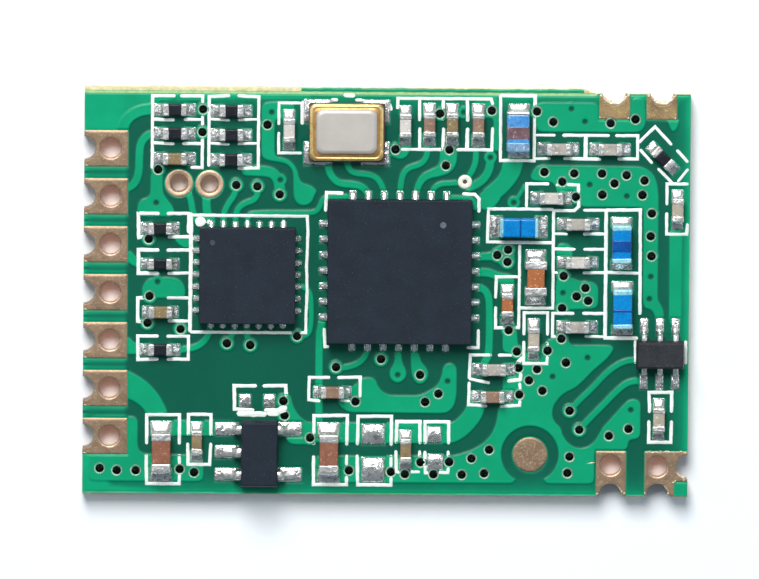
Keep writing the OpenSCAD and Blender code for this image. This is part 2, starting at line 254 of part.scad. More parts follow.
module stroke(w, p, ends = true) {
    polygon(concat([for (i = [0:len(p) - 1]) p[i] + side(p, i) * w / 2], [for (i = [len(p) - 1:-1:0]) p[i] - side(p, i) * w / 2]));
    if (ends) for (e = [p[0], p[len(p) - 1]]) translate(e) rotate(22.5) circle(r = w / 2 / cos(22.5), $fn = 8);
}

// Outline with the snapped strip along the upper edge
module outline() {
    polygon([[-hl, -hw], [hl, -hw], [hl, snap_y], [8.72, snap_y], [8.3, hw], [-hl, hw]]);
}

// Outline of the laminate up to the snap groove, where mask and copper end
module face_outline() {
    polygon([[-hl + 0.03, -hw + 0.08], [hl - 0.03, -hw + 0.08], [hl - 0.03, 8.22], [-hl + 0.03, 8.22]]);
}

// Half-round notches on the edges: left column, upper pair, lower pair and the lower right side
NOTCHES = concat([for (y = LEFT_Y) [-hl, y]], [[9.42, snap_y + 0.05], [11.42, snap_y + 0.05], [9.4, -hw + 0.05], [11.36, -hw + 0.05], [hl, -7.26]]);
ROUND_HOLES = concat([for (y = LEFT_Y) [-hl + 1.1, y]], [HOLE_C, HOLE_D]);

module notches(d) { for (n = NOTCHES) translate(n) circle(d = d, $fn = 48); }
module round_holes(d) { for (n = ROUND_HOLES) translate(n) circle(d = d, $fn = 48); }
module pth_holes(d) { for (n = PTH) translate(n) circle(d = d, $fn = 40); }
module via_holes(d, f = 24) { for (v = VIAS) translate(v) circle(d = d, $fn = f); }

// Rectangles of the edge pads, grown by g
module left_pad(y, g) { translate([-hl - 1, y - pad_w / 2 - g]) square([pad_reach + 1 + g, pad_w + 2 * g]); }
module pad_a(g) { translate([8.8 - g, 7.25 - g]) square([1.27 + 2 * g, 2]); }
module pad_b(g) { translate([10.76 - g, 7.25 - g]) square([1.26 + 2 * g, 2]); }
module pad_c(g) { translate([8.8 - g, -10]) square([1.24 + 2 * g, 3.4 + g]); }
module pad_d(g) { difference() { translate([10.82 - g, -10]) square([3, 3.4 + g]); translate([12.05 + g, -10]) square([3, 2.12 - g]); } }
module edge_pad_area(g) {
    for (y = LEFT_Y) left_pad(y, g);
    pad_a(g); pad_b(g); pad_c(g); pad_d(g);
}

// Land rectangles of everything soldered to the board, grown by g
module land(c, g) {
    translate([c[0], c[1]]) rotate(c[2]) for (s = [-1, 1]) translate([s * (c[3] / 2 - 0.14 + (c[6] + 0.14) / 2), 0])
        square([c[6] + 0.14 + 2 * g, c[7] + 2 * g], center = true);
}
function pins(pitch) = [for (i = [-3:3]) i * pitch];
module qfn_lands(u, half, toe, len_in, g) {
    translate([u[0], u[1]]) for (a = [0, 90, 180, 270]) rotate(a) for (t = pins(u[2]))
        translate([half + (toe - len_in) / 2, t]) square([toe + len_in + 2 * g, u[3] + 2 * g], center = true);
}
module lands(g) {
    for (c = RESISTORS) land(c, g);
    for (c = CAPACITORS) land(c, g);
    for (c = INDUCTORS) land(c, g);
    for (b = BARE) translate([b[0], b[1]]) square([b[2] + 2 * g, b[3] + 2 * g], center = true);
    qfn_lands(U1, u1_side / 2, U1[4], 0.45, min(g, 0.05));
    qfn_lands(U2, u2_side / 2, U2[4], 0.36, min(g, 0.04));
    translate(U3) for (x = U3_X) for (s = [-1, 1]) translate([x, s * 1.14]) square([0.34 + 2 * g, 0.66 + 2 * g], center = true);
    translate(U4) { for (y = U4_Y) translate([-1.35, y]) square([1 + 2 * g, 0.54 + 2 * g], center = true);
        for (y = [U4_Y[0], U4_Y[2]]) translate([1.28, y]) square([1 + 2 * g, 0.6 + 2 * g], center = true); }
    for (s = [-1, 1]) for (t = [-1, 1]) translate([XC[0] + s * 1.2, XC[1] + t * 0.88]) square([1.2 + 2 * g, 0.98 + 2 * g], center = true);
}

TEST = [6.03, -6.76];
TEST_D = 1.46;
POINT = [3.23, 4.6];
POINT_D = 0.54;

// Copper of the top layer, without the edge pads, plated rings and test pads
module copper_area() {
    difference() {
        union() {
            for (p = POURS) polygon(p);
            for (t = TRACES) stroke(t[0], cut(t[1], 2));
            for (v = VIAS) translate(v) circle(d = via_ring_d, $fn = 20);
            for (v = DIMPLES) translate(v) circle(d = 0.46, $fn = 16);
            lands(0);
        }
        translate(TEST) circle(d = 2.44, $fn = 48);
        polygon([[5.4, -7.9], [5.4, -7.3], [6.66, -7.3], [6.66, -7.9]]);
        edge_pad_area(0.003);
        for (n = PTH) translate(n) circle(d = 1.166, $fn = 48);
        translate(POINT) circle(d = POINT_D + 0.006, $fn = 32);
        via_holes(via_d, 20);
        notches(notch_d + 0.02);
    }
}

// Openings in the upper solder mask
module mask_openings() {
    edge_pad_area(0.05);
    lands(0.05);
    translate(TEST) circle(d = TEST_D + 0.12, $fn = 48);
    for (n = PTH) translate(n) circle(d = 1.26, $fn = 48);
    translate(POINT) circle(d = POINT_D + 0.08, $fn = 32);
}

module board_substrate() color([0.62, 0.66, 0.38]) difference() {
    translate([0, 0, z_lam0]) linear_extrude(lam_t) difference() {
        outline();
        notches(notch_d);
        round_holes(pad_hole_d);
        pth_holes(PTH_D);
        via_holes(via_d, 24);
    }
    // groove left by the panel cutter, and the lower torn part of the strip
    translate([-hl - 1, 0, 0]) rotate([90, 0, 90]) linear_extrude(hl + 1 + 8.9) polygon([[8.25, z_lam1 + eps], [8.33, z_lam1 - 0.26], [8.41, z_lam1 + eps]]);
    translate([-hl - 1, 8.36, z_lam1 - 0.22]) cube([hl + 1 - 3.55, 1, 1]);
    // groove on the underside
    translate([-hl - 1, 0, 0]) rotate([90, 0, 90]) linear_extrude(hl + 1 + 8.9) polygon([[8.24, z_lam0 - eps], [8.33, z_lam0 + 0.26], [8.42, z_lam0 - eps]]);
    // small break along the lower edge
    translate([-hl - 1, 0, 0]) rotate([90, 0, 90]) linear_extrude(board_l + 2) polygon([[-hw + 0.08, z_lam1 + eps], [-hw - eps, z_lam1 - 0.09], [-hw - eps, z_lam1 + eps]]);
}

module copper_top() color([0.76, 0.5, 0.34]) translate([0, 0, z_lam1]) linear_extrude(cu_t) offset(delta = 0.001) intersection() { copper_area(); face_outline(); }

// Ground area of the lower layer
module bottom_area() {
    difference() {
        translate([-hl + 0.4, -hw + 0.55]) square([board_l - 0.8, 16.1]);
        edge_pad_area(0.25);
        for (n = PTH) translate(n) circle(d = 1.7, $fn = 40);
        translate(TEST) circle(d = 2.0, $fn = 40);
        via_holes(via_d, 16);
    }
}
module copper_bottom() color([0.76, 0.5, 0.34]) translate([0, 0, mask_t]) linear_extrude(cu_t) offset(delta = 0.001) bottom_area();

module solder_mask_top() color([0.07, 0.55, 0.4]) {
    translate([0, 0, z_cu1]) linear_extrude(mask_t) difference() { offset(delta = 0.001) difference() { face_outline(); mask_openings(); notches(notch_d); } via_holes(via_d, 24); }
    // mask left on the unbroken part of the snapped strip
    translate([0, 0, z_lam1]) linear_extrude(mask_t) polygon([[-3.5, 8.43], [8.3, 8.43], [8.24, hw - 0.02], [-3.5, hw - 0.02]]);
}

module solder_mask_bottom() color([0.07, 0.55, 0.4]) difference() {
    linear_extrude(cu_t + mask_t) offset(delta = 0.001) difference() { face_outline(); edge_pad_area(0.05); for (n = PTH) translate(n) circle(d = 1.26, $fn = 40); via_holes(via_d, 16); notches(notch_d); }
    translate([0, 0, mask_t]) linear_extrude(cu_t + eps) offset(delta = 0.002) bottom_area();
}

module legend_print() color([0.93, 0.95, 0.92]) translate([0, 0, z_top]) linear_extrude(ink_t) offset(delta = 0.001) intersection() {
    difference() {
        union() { for (t = INK) stroke(t[0], t[1]); translate([-7.74, 2.8]) circle(d = 0.42, $fn = 16); }
        mask_openings();
        via_holes(via_d + 0.02, 16);
        for (u = [[U1, u1_side], [U2, u2_side]]) translate([u[0][0], u[0][1]]) square(u[1] + 0.04, center = true);
    }
    face_outline();
}

// One plated pad: upper and lower land joined by the plated walls
module plated(holes_d, wall) {
    difference() {
        union() {
            translate([0, 0, mask_t]) linear_extrude(cu_t) children(0);
            translate([0, 0, z_lam1]) linear_extrude(cu_t) children(0);
            translate([0, 0, mask_t]) linear_extrude(z_cu1 - mask_t) intersection() { children(0); union() { notches(notch_d); round_holes(pad_hole_d); } }
        }
        translate([0, 0, -1]) linear_extrude(4) { notches(notch_d - 2 * plate_t); round_holes(pad_hole_d - 2 * plate_t); }
    }
}
module edge_clip() { intersection() { translate([-hl, -hw + 0.02]) square([board_l, hw + snap_y - 0.02]); children(); } }
module edge_pads() color([0.74, 0.52, 0.38]) {
    for (y = LEFT_Y) plated() edge_clip() left_pad(y, 0);
    plated() edge_clip() pad_a(0);
    plated() edge_clip() pad_b(0);
    plated() edge_clip() pad_c(0);
    plated() edge_clip() pad_d(0);
}

module plated_holes() color([0.78, 0.56, 0.4]) for (n = PTH) translate(n) difference() {
    union() {
        translate([0, 0, mask_t]) cylinder(d = 1.16, h = cu_t, $fn = 48);
        translate([0, 0, z_lam1]) cylinder(d = 1.16, h = cu_t, $fn = 48);
        translate([0, 0, mask_t]) cylinder(d = PTH_D, h = z_cu1 - mask_t, $fn = 48);
    }
    translate([0, 0, -1]) cylinder(d = PTH_D - 2 * plate_t, h = 4, $fn = 48);
}

module plated_vias() color([0.75, 0.55, 0.38]) translate([0, 0, z_lam0]) linear_extrude(lam_t) for (v = VIAS) translate(v) difference() { circle(d = via_d, $fn = 24); circle(d = via_d - 0.05, $fn = 24); }

module test_pads() color([0.7, 0.5, 0.36]) {
    translate([TEST[0], TEST[1], z_lam1]) cylinder(d = TEST_D, h = cu_t, $fn = 64);
    translate([POINT[0], POINT[1], z_lam1]) difference() { cylinder(d = POINT_D, h = cu_t, $fn = 32); translate([0, 0, -1]) cylinder(d = 0.12, h = 3, $fn = 16); }
}

// Solder: one body under and beside each soldered end
module joint(c) {
    e = c[3] / 2;
    h = c[5] * 0.5;
    translate([c[0], c[1], z_cu1]) rotate(c[2]) for (s = [0, 180]) rotate(s) translate([0, c[7] / 2, 0]) rotate([90, 0, 0])
        linear_extrude(c[7]) polygon([[e - 0.14, 0], [e + c[6], 0], [e + c[6], 0.03], [e + c[6] * 0.4, h * 0.45], [e, h], [e, film_t], [e - 0.14, film_t]]);
}
module qfn_joint(u, half, len_in) {
    translate([u[0], u[1], z_cu1]) for (a = [0, 90, 180, 270]) rotate(a) for (t = pins(u[2])) translate([0, t + u[3] / 2, 0]) rotate([90, 0, 0])
        linear_extrude(u[3]) polygon([[half - len_in, 0], [half + u[4], 0], [half + u[4], 0.03], [half + u[4] * 0.5, 0.12], [half, 0.2], [half, film_t], [half - len_in, film_t]]);
}
module solder_joints() color([0.8, 0.8, 0.78]) {
    for (c = RESISTORS) joint(c);
    for (c = CAPACITORS) joint(c);
    for (c = INDUCTORS) joint(c);
    qfn_joint(U1, u1_side / 2, 0.45);
    qfn_joint(U2, u2_side / 2, 0.36);
    for (b = BARE) translate([b[0] - b[2] / 2, b[1] - b[3] / 2, z_cu1]) cube([b[2], b[3], 0.08]);
    translate([U3[0], U3[1], z_cu1]) for (x = U3_X) for (s = [-1, 1]) translate([x - 0.17, s * 1.14 - 0.33, 0]) cube([0.34, 0.66, film_t]);
    translate([U4[0], U4[1], z_cu1]) { for (y = U4_Y) translate([-1.85, y - 0.27, 0]) cube([1, 0.54, film_t]);
        for (y = [U4_Y[0], U4_Y[2]]) translate([0.78, y - 0.3, 0]) cube([1, 0.6, film_t]); }
    for (s = [-1, 1]) for (t = [-1, 1]) translate([XC[0] + s * 1.2 - 0.6, XC[1] + t * 0.88 - 0.49, z_cu1]) cube([1.2, 0.98, film_t]);
}

// Plan of a rounded rectangle centred on the origin
module rounded(l, w, r) { translate([-l / 2 + r, -w / 2]) square([l - 2 * r, w]); translate([-l / 2, -w / 2 + r]) square([l, w - 2 * r]); for (s = [-1, 1]) for (t = [-1, 1]) translate([s * (l / 2 - r), t * (w / 2 - r)]) circle(r = r, $fn = 32); }

module crystal_base() color([0.25, 0.2, 0.17]) translate([XC[0], XC[1], z_part]) linear_extrude(0.42) difference() {
    square([3.2, 2.5], center = true);
    for (s = [-1, 1]) for (t = [-1, 1]) translate([s * 1.6, t * 1.25]) circle(r = 0.12, $fn = 24);
}
module crystal_seal_ring() color([0.85, 0.68, 0.35]) translate([XC[0], XC[1], z_part + 0.42]) linear_extrude(0.2) difference() { rounded(3.02, 2.34, 0.28); rounded(2.3, 1.6, 0.2); }
module crystal_lid() color([0.72, 0.7, 0.68]) translate([XC[0], XC[1], z_part + 0.62]) { linear_extrude(0.05) rounded(2.66, 1.96, 0.24); linear_extrude(0.09) rounded(2.5, 1.8, 0.18); }

// Leadless square package and its terminals, which sit flush in its underside and sides
module qfn_terminals(u, sd, len_in) { translate([u[0], u[1], z_part]) for (a = [0, 90, 180, 270]) rotate(a) for (t = pins(u[2])) translate([sd / 2 - len_in, t - u[3] / 2, 0]) cube([len_in, u[3], 0.2]); }
module qfn_body(u, sd, len_in) { difference() { translate([u[0] - sd / 2, u[1] - sd / 2, z_part]) cube([sd, sd, qfn_h]); translate([u[0], u[1], z_part - 1]) for (a = [0, 90, 180, 270]) rotate(a) for (t = pins(u[2])) translate([sd / 2 - len_in, t - u[3] / 2, 0]) cube([len_in + 1, u[3], 1.2]); } }
module radio_chip_body() color([0.17, 0.19, 0.23]) qfn_body(U1, u1_side, 0.45);
module radio_chip_terminals() color([0.75, 0.75, 0.74]) qfn_terminals(U1, u1_side, 0.45);
module controller_body() color([0.17, 0.19, 0.22]) qfn_body(U2, u2_side, 0.36);
module controller_terminals() color([0.75, 0.75, 0.74]) qfn_terminals(U2, u2_side, 0.36);

// Gull-wing package: a body with drafted sides, seen from its end, and bent leads
module sot_body(l, w) { rotate([90, 0, 0]) translate([0, 0, -l / 2]) linear_extrude(l) polygon([[-w / 2 + 0.05, 0.1], [w / 2 - 0.05, 0.1], [w / 2, 0.5], [w / 2 - 0.08, sot_h], [-w / 2 + 0.08, sot_h], [-w / 2, 0.5]]); }
module gull(w, x0, reach) { translate([0, w / 2, 0]) rotate([90, 0, 0]) linear_extrude(w) polygon([[x0 - 0.02, 0.44], [x0 + 0.1, 0.44], [x0 + 0.2, 0.36], [x0 + 0.24, 0], [x0 + reach, 0], [x0 + reach, 0.13], [x0 + 0.36, 0.14], [x0 + 0.3, 0.48], [x0 + 0.16, 0.57], [x0 - 0.02, 0.57]]); }
module switch_chip_leads() color([0.78, 0.78, 0.76]) translate([U3[0], U3[1], z_part]) for (x = U3_X) for (s = [90, 270]) translate([x, 0, 0]) rotate(s) gull(0.22, 0.6, 0.62);
module switch_chip_body() color([0.16, 0.16, 0.18]) difference() { translate([U3[0], U3[1], z_part]) rotate(90) sot_body(2.0, 1.2); switch_chip_leads(); }
module regulator_leads() color([0.8, 0.8, 0.78]) translate([U4[0], U4[1], z_part]) { for (y = U4_Y) translate([0, y, 0]) rotate(180) gull(0.36, 0.78, 0.7); for (y = [U4_Y[0], U4_Y[2]]) translate([0, y, 0]) gull(0.36, 0.78, 0.7); }
module regulator_body() color([0.18, 0.2, 0.24]) difference() { translate([U4[0], U4[1], z_part]) sot_body(2.86, 1.56); regulator_leads(); }

// Chip part: a ceramic bar with a plated cap on each end
module chip(c, body_c, cap) {
    c1 = 0.03;
    color(body_c) translate([c[0], c[1], z_part]) rotate(c[2]) rotate([90, 0, 90]) union() {
        translate([0, 0, -c[3] / 2 + 0.02]) linear_extrude(c[3] - 0.04) polygon([[-c[4] / 2 + 0.02, 0.02], [c[4] / 2 - 0.02, 0.02], [c[4] / 2 - 0.02, c[5] - 0.02], [-c[4] / 2 + 0.02, c[5] - 0.02]]);
        for (z = [-c[3] / 2, c[3] / 2 - cap]) translate([0, 0, z]) linear_extrude(cap) polygon([[-c[4] / 2 + c1, 0], [c[4] / 2 - c1, 0], [c[4] / 2, c1], [c[4] / 2, c[5] - c1], [c[4] / 2 - c1, c[5]], [-c[4] / 2 + c1, c[5]], [-c[4] / 2, c[5] - c1], [-c[4] / 2, c1]]);
    }
}
BLACK = [0.15, 0.15, 0.17];
TAN = [0.6, 0.52, 0.42];
BROWN = [0.6, 0.4, 0.3];
GREY = [0.75, 0.72, 0.7];
ORANGE = [0.78, 0.48, 0.27];
BLUE = [0.05, 0.45, 0.75];
module resistor(i) { chip(RESISTORS[i - 1], BLACK, 0.24); }
module capacitor(i, body_c) { chip(CAPACITORS[i - 1], body_c, CAPACITORS[i - 1][3] > 1.2 ? 0.32 : 0.24); }
module inductor(i) { chip(INDUCTORS[i - 1], BLUE, 0.22); }

board_substrate();
copper_top();
copper_bottom();
solder_mask_top();
solder_mask_bottom();
legend_print();
edge_pads();
plated_holes();
plated_vias();
test_pads();
solder_joints();
crystal_base();
crystal_seal_ring();
crystal_lid();
radio_chip_body();
radio_chip_terminals();
controller_body();
controller_terminals();
switch_chip_body();
switch_chip_leads();
regulator_body();
regulator_leads();
resistor(1);  // resistor_1
resistor(2);  // resistor_2
resistor(3);  // resistor_3
resistor(4);  // resistor_4
resistor(5);  // resistor_5
resistor(6);  // resistor_6
resistor(7);  // resistor_7
resistor(8);  // resistor_8
resistor(9);  // resistor_9
capacitor(1, TAN);  // capacitor_1
capacitor(2, GREY);  // capacitor_2
capacitor(3, GREY);  // capacitor_3
capacitor(4, BROWN);  // capacitor_4
capacitor(5, TAN);  // capacitor_5
capacitor(6, BROWN);  // capacitor_6
capacitor(7, GREY);  // capacitor_7
capacitor(8, GREY);  // capacitor_8
capacitor(9, GREY);  // capacitor_9
capacitor(10, GREY);  // capacitor_10
capacitor(11, GREY);  // capacitor_11
capacitor(12, GREY);  // capacitor_12
capacitor(13, ORANGE);  // capacitor_13
capacitor(14, ORANGE);  // capacitor_14
capacitor(15, GREY);  // capacitor_15
capacitor(16, GREY);  // capacitor_16
capacitor(17, GREY);  // capacitor_17
capacitor(18, BROWN);  // capacitor_18
capacitor(19, BROWN);  // capacitor_19
capacitor(20, TAN);  // capacitor_20
capacitor(21, BROWN);  // capacitor_21
capacitor(22, TAN);  // capacitor_22
capacitor(23, BROWN);  // capacitor_23
capacitor(24, TAN);  // capacitor_24
capacitor(25, GREY);  // capacitor_25
inductor(1);  // inductor_1
inductor(2);  // inductor_2
inductor(3);  // inductor_3
inductor(4);  // inductor_4
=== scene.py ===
# Looks of a small radio module: lacquered board, plated edge pads, chips, crystal and chip parts.
import math

import bpy
import numpy as np
from mathutils import Matrix, Vector, geometry


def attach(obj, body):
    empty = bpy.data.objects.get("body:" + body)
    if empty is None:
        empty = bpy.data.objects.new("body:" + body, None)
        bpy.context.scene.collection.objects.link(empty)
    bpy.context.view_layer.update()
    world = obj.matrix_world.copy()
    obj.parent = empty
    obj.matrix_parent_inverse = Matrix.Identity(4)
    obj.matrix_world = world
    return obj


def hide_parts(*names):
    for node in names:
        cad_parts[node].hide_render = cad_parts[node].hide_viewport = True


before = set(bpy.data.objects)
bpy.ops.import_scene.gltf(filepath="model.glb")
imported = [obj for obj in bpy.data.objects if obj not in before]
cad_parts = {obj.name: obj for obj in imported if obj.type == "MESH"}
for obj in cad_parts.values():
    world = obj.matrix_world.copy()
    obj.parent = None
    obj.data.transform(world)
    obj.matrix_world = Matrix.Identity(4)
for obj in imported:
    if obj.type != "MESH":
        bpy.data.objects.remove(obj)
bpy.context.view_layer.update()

# ---------------------------------------------------------------- the layout, in millimetres, as in the part's source
# open vias
VIAS = [[-9.53, 5.03], [-7.68, 7.55], [-7.7, 6.6], [-5, 6.92], [-6.28, 4.4], [-5.4, 4.35], [-4.47, 4.02],
    [0.33, 5.93], [2.17, 7.43], [4.32, 7.57], [2.57, 5.93], [2.43, 5.27], [6.2, 7.55], [6.88, 7.12],
    [6.53, 5.03], [7.77, 4.98], [7.28, 4.63], [9.27, 7.08], [10.3, 7.25], [8.93, 4.98], [9.95, 4.92],
    [9.45, 4.57], [10.7, 4.7], [10.62, 4.1], [8.95, 4.1], [11.02, 3.33], [10.98, 2.38], [11.02, 1.55],
    [7.85, 4], [4.6, 1.55], [5.05, 1.78], [5.03, 1.27], [7.37, 0.7], [8.28, 0.2], [7.92, -0.15],
    [8.4, -0.33], [7.32, -0.65], [5.1, -1.58], [5.45, -2.47], [6.73, -2.42], [5.53, -3.15], [6.3, -3.2],
    [5.97, -3.67], [5.57, -4.27], [6.53, -4.1], [7.3, -1.92], [7.5, -2.92], [4.33, -6.58], [7.67, -4.93],
    [8.08, -5.72], [7.68, -6.85], [7.6, -7.53], [3.6, -6.95], [3.2, -7.63], [4.13, -7.57], [2.67, -7.1],
    [2.02, -7.62], [1.48, -7.12], [0.83, -7.62], [0.25, -7.53], [1.65, -4.6], [2.2, -4.25], [1.43, -3.47],
    [-0.2, -2.82], [-2.07, -3.17], [-1.25, -4.6], [-3.7, -1.88], [-1.5, -7.48], [-3.13, -6.13],
    [-4.25, -4.6], [-4.2, -5.2], [-6.62, -2.2], [-5.65, -2.27], [-8.55, -1.62], [-9.93, -1.37],
    [-9.85, -0.25], [-9.9, 2.13], [-11.88, -7.45], [-11.17, -7.53], [-10.38, -7.53], [-8.55, -7.47],
    [-7.95, -7.6], [9.32, -5.97], [10.13, -5.67]]
# copper areas
POURS = [
    [[-9.82, 4.95], [-9.82, 4], [-9.98, 3.82], [-10.25, 3.74], [-10.36, 3.5], [-10.36, 3.1], [-8.85, 3.1], [-8.9, 3.45], [-9.15, 3.75], [-9.36, 4.05], [-9.36, 4.95]],
    [[-10.12, 0.15], [-9.98, 0.4], [-9.65, 0.52], [-8.8, 0.52], [-8.5, 0.34], [-8.38, 0.05], [-8.4, -0.3], [-10.1, -0.3], [-10.15, -0.05]],
    [[-8.85, 2.2], [-8.2, 2.2], [-8.14, 1.9], [-8.35, 1.76], [-8.65, 1.92]],
    [[-10.9, -3.32], [-10.4, -3.55], [-9.95, -3.84], [-9.52, -4.28], [-9.24, -4.75], [-9.05, -5.2], [-9.9, -5.2], [-10.05, -4.95], [-10.32, -4.7], [-10.7, -4.5], [-10.9, -4.5]],
    [[-12.3, -5.3], [-10.45, -5.3], [-10.33, -5.42], [-10.33, -6.5], [-10.22, -6.75], [-9.95, -6.88], [-8, -6.9], [-7.58, -6.9], [-7.58, -7.95], [-12.3, -7.95]],
    [[-9.7, -5.45], [-6.2, -5.45], [-6.2, -6.05], [-9.7, -6.05]],
    [[-5.22, 7.8], [-4.7, 7.86], [-3.9, 7.86], [-3.9, 7.2], [-4.72, 7.2], [-4.72, 5.58], [-4.25, 5.52], [-3.95, 5.34], [-3.76, 5.02], [-3.7, 4.7], [-3.55, 4.48], [-3.12, 4.36], [-2.94, 4.18], [-3.06, 3.98], [-3.14, 3.74], [-3.34, 3.6], [-3.62, 3.6], [-3.85, 3.82], [-3.88, 4.3], [-3.88, 4.92], [-4.02, 5.2], [-4.26, 5.36], [-4.65, 5.42], [-5.12, 5.5], [-5.22, 5.72]],
    [[2.2, 6.1], [2.2, 5.46], [2.08, 5.22], [1.78, 5.06], [1.46, 4.92], [1.24, 4.64], [1.08, 4.1], [1.32, 4.1], [1.42, 4.48], [1.72, 4.76], [2.2, 4.84], [2.62, 5], [2.82, 5.3], [2.88, 5.62], [2.86, 6.1]],
    [[4.85, 5.6], [4.75, 5.02], [4.5, 4.66], [4.2, 4.4], [3.95, 4.2], [3.98, 3.72], [4.2, 3.7], [4.62, 3.9], [5.02, 4.25], [5.32, 4.62], [5.52, 4.95], [5.66, 5.6]],
    [[4.42, 5.9], [4.62, 5.9], [4.62, 8.05], [3.6, 8.05], [3.6, 7.3], [4.42, 7.3]],
    [[6.2, 6.74], [6.2, 7.9], [8.76, 7.9], [8.76, 7.22], [10.06, 7.22], [10.12, 8.1], [10.64, 8.1], [10.72, 7.3], [10.66, 6.92], [10.45, 6.74]],
    [[11.62, 7.3], [12.1, 7.3], [12.05, 6.96], [11.88, 6.74], [11.76, 6.92]],
    [[5.95, 4.7], [6.05, 5.08], [6.3, 5.3], [10.62, 5.26], [11.02, 5.02], [11.2, 4.62], [11.27, 4], [11.27, -0.3], [11.42, -0.5], [11.54, -0.8], [11.54, -1.3], [11.22, -1.3], [11.2, -0.86], [11.02, -0.64], [10.76, -0.6], [10.7, -0.3], [10.7, 3.62], [8.06, 3.62], [7.95, 3.8], [7.3, 3.7], [7.1, 3.7], [7.1, 4.3], [6.9, 4.65]],
    [[11.78, 2.7], [12.27, 2.7], [12.27, -1.3], [11.8, -1.3]],
    [[7.1, 0.66], [7.6, 0.66], [8.1, 0.44], [8.5, 0.46], [8.74, 0.34], [8.8, 0.08], [8.8, -0.46], [8.7, -0.62], [7.1, -0.7], [7.06, 0]],
    [[7.08, 1.05], [7.08, 1.95], [7.3, 2.05], [7.6, 2], [7.7, 1.85], [7.7, 1.05]],
    [[3.7, 1.34], [3.7, 1.62], [4.3, 1.62], [4.5, 1.84], [4.9, 2.02], [5.22, 1.96], [5.3, 1.7], [5.28, 1.2], [5.12, 1], [4.84, 1.06], [4.6, 1.3], [4.4, 1.36]],
    [[3.7, 0.7], [3.7, 0.98], [4.3, 0.98], [4.72, 0.8], [5.3, 0.72], [5.3, 0], [4.8, 0], [4.7, 0.5], [4.3, 0.66]],
    [[4.88, -1.2], [5.36, -1.2], [5.46, -2], [5.52, -2.5], [4.88, -2.5]],
    [[-1, -3.62], [-0.46, -3.62], [-0.36, -3.94], [-0.12, -4.22], [0.2, -4.36], [1.4, -4.36], [1.76, -4.2], [2.18, -3.92], [2.36, -3.5], [2.4, -3.12], [2.6, -3], [2.8, -3], [2.93, -3.16], [2.93, -4.3], [2.84, -4.74], [2.62, -4.98], [2.4, -5.04], [-1.58, -5.02], [-2, -4.66], [-1.8, -4], [-1.3, -4]],
    [[-4.5, -4.3], [-3.98, -4.3], [-3.9, -4.75], [-3.66, -5.18], [-3.3, -5.48], [-2.95, -5.52], [-2.95, -6.38], [-3.95, -6.38], [-4.15, -6.1], [-4.4, -5.4]],
    [[-2.96, -5.55], [-1.85, -5.5], [2.78, -5.5], [3.02, -5.3], [3.26, -5.04], [3.42, -4.72], [3.6, -4.2], [4, -4.2], [4.15, -4.75], [4.08, -4.98], [3.94, -5.32], [3.6, -5.76], [3.2, -6.1], [2.78, -6.3], [-2.96, -6.3]],
    [[4.72, -4.8], [4.9, -4.6], [4.9, -2.95], [5.6, -2.9], [5.85, -2.5], [6.6, -2.2], [6.76, -1.94], [7.56, -1.94], [7.66, -2.14], [7.8, -2.2], [9.4, -2.2], [9.46, -2.36], [9.2, -2.72], [8.62, -3.22], [8.2, -3.66], [7.9, -3.94], [7.4, -4.18], [7.12, -4.48], [6.94, -4.8], [6.92, -5.2], [7.06, -5.45], [7.28, -5.62], [7.36, -5.95], [7.6, -6.3], [7.95, -6.5], [8.28, -6.52], [8.52, -6.42], [8.76, -6.2], [8.95, -5.86], [9.1, -5.6], [9.5, -5.16], [9.9, -4.7], [10.12, -4.5], [10.36, -4.44], [10.6, -4.52], [10.6, -5.94], [10.48, -6.06], [10.12, -6.1], [10.06, -6.56], [8.7, -6.56], [8.7, -7.95], [6.7, -7.95], [6.7, -7.8], [5.36, -7.8], [5.36, -7.95], [-2.9, -7.95], [-2.9, -6.9], [2.9, -6.86], [3.6, -6.64], [4.1, -6.34], [4.48, -5.9], [4.66, -5.4]],
    [[-11.1, 1.6], [-10.6, 1.6], [-10.42, 1.32], [-9.8, 1.3], [-9.8, 0.95], [-10.5, 0.98], [-10.8, 1.24], [-11.1, 1.24]],
    [[-11.1, -1.9], [-10.7, -1.98], [-10.44, -2.26], [-9.8, -2.3], [-9.8, -2.66], [-10.7, -2.66], [-11.1, -2.6]],
    [[0.37, -2.5], [0.63, -2.5], [0.64, -2.95], [0.84, -3.3], [0.82, -3.6], [0.5, -3.82], [0.2, -3.62], [0.18, -3.3], [0.4, -2.95]],
    [[1.05, -2.5], [1.33, -2.5], [1.42, -2.9], [1.7, -3.2], [1.76, -3.5], [1.62, -3.76], [1.36, -3.84], [1.14, -3.6], [1.08, -3.2]]]
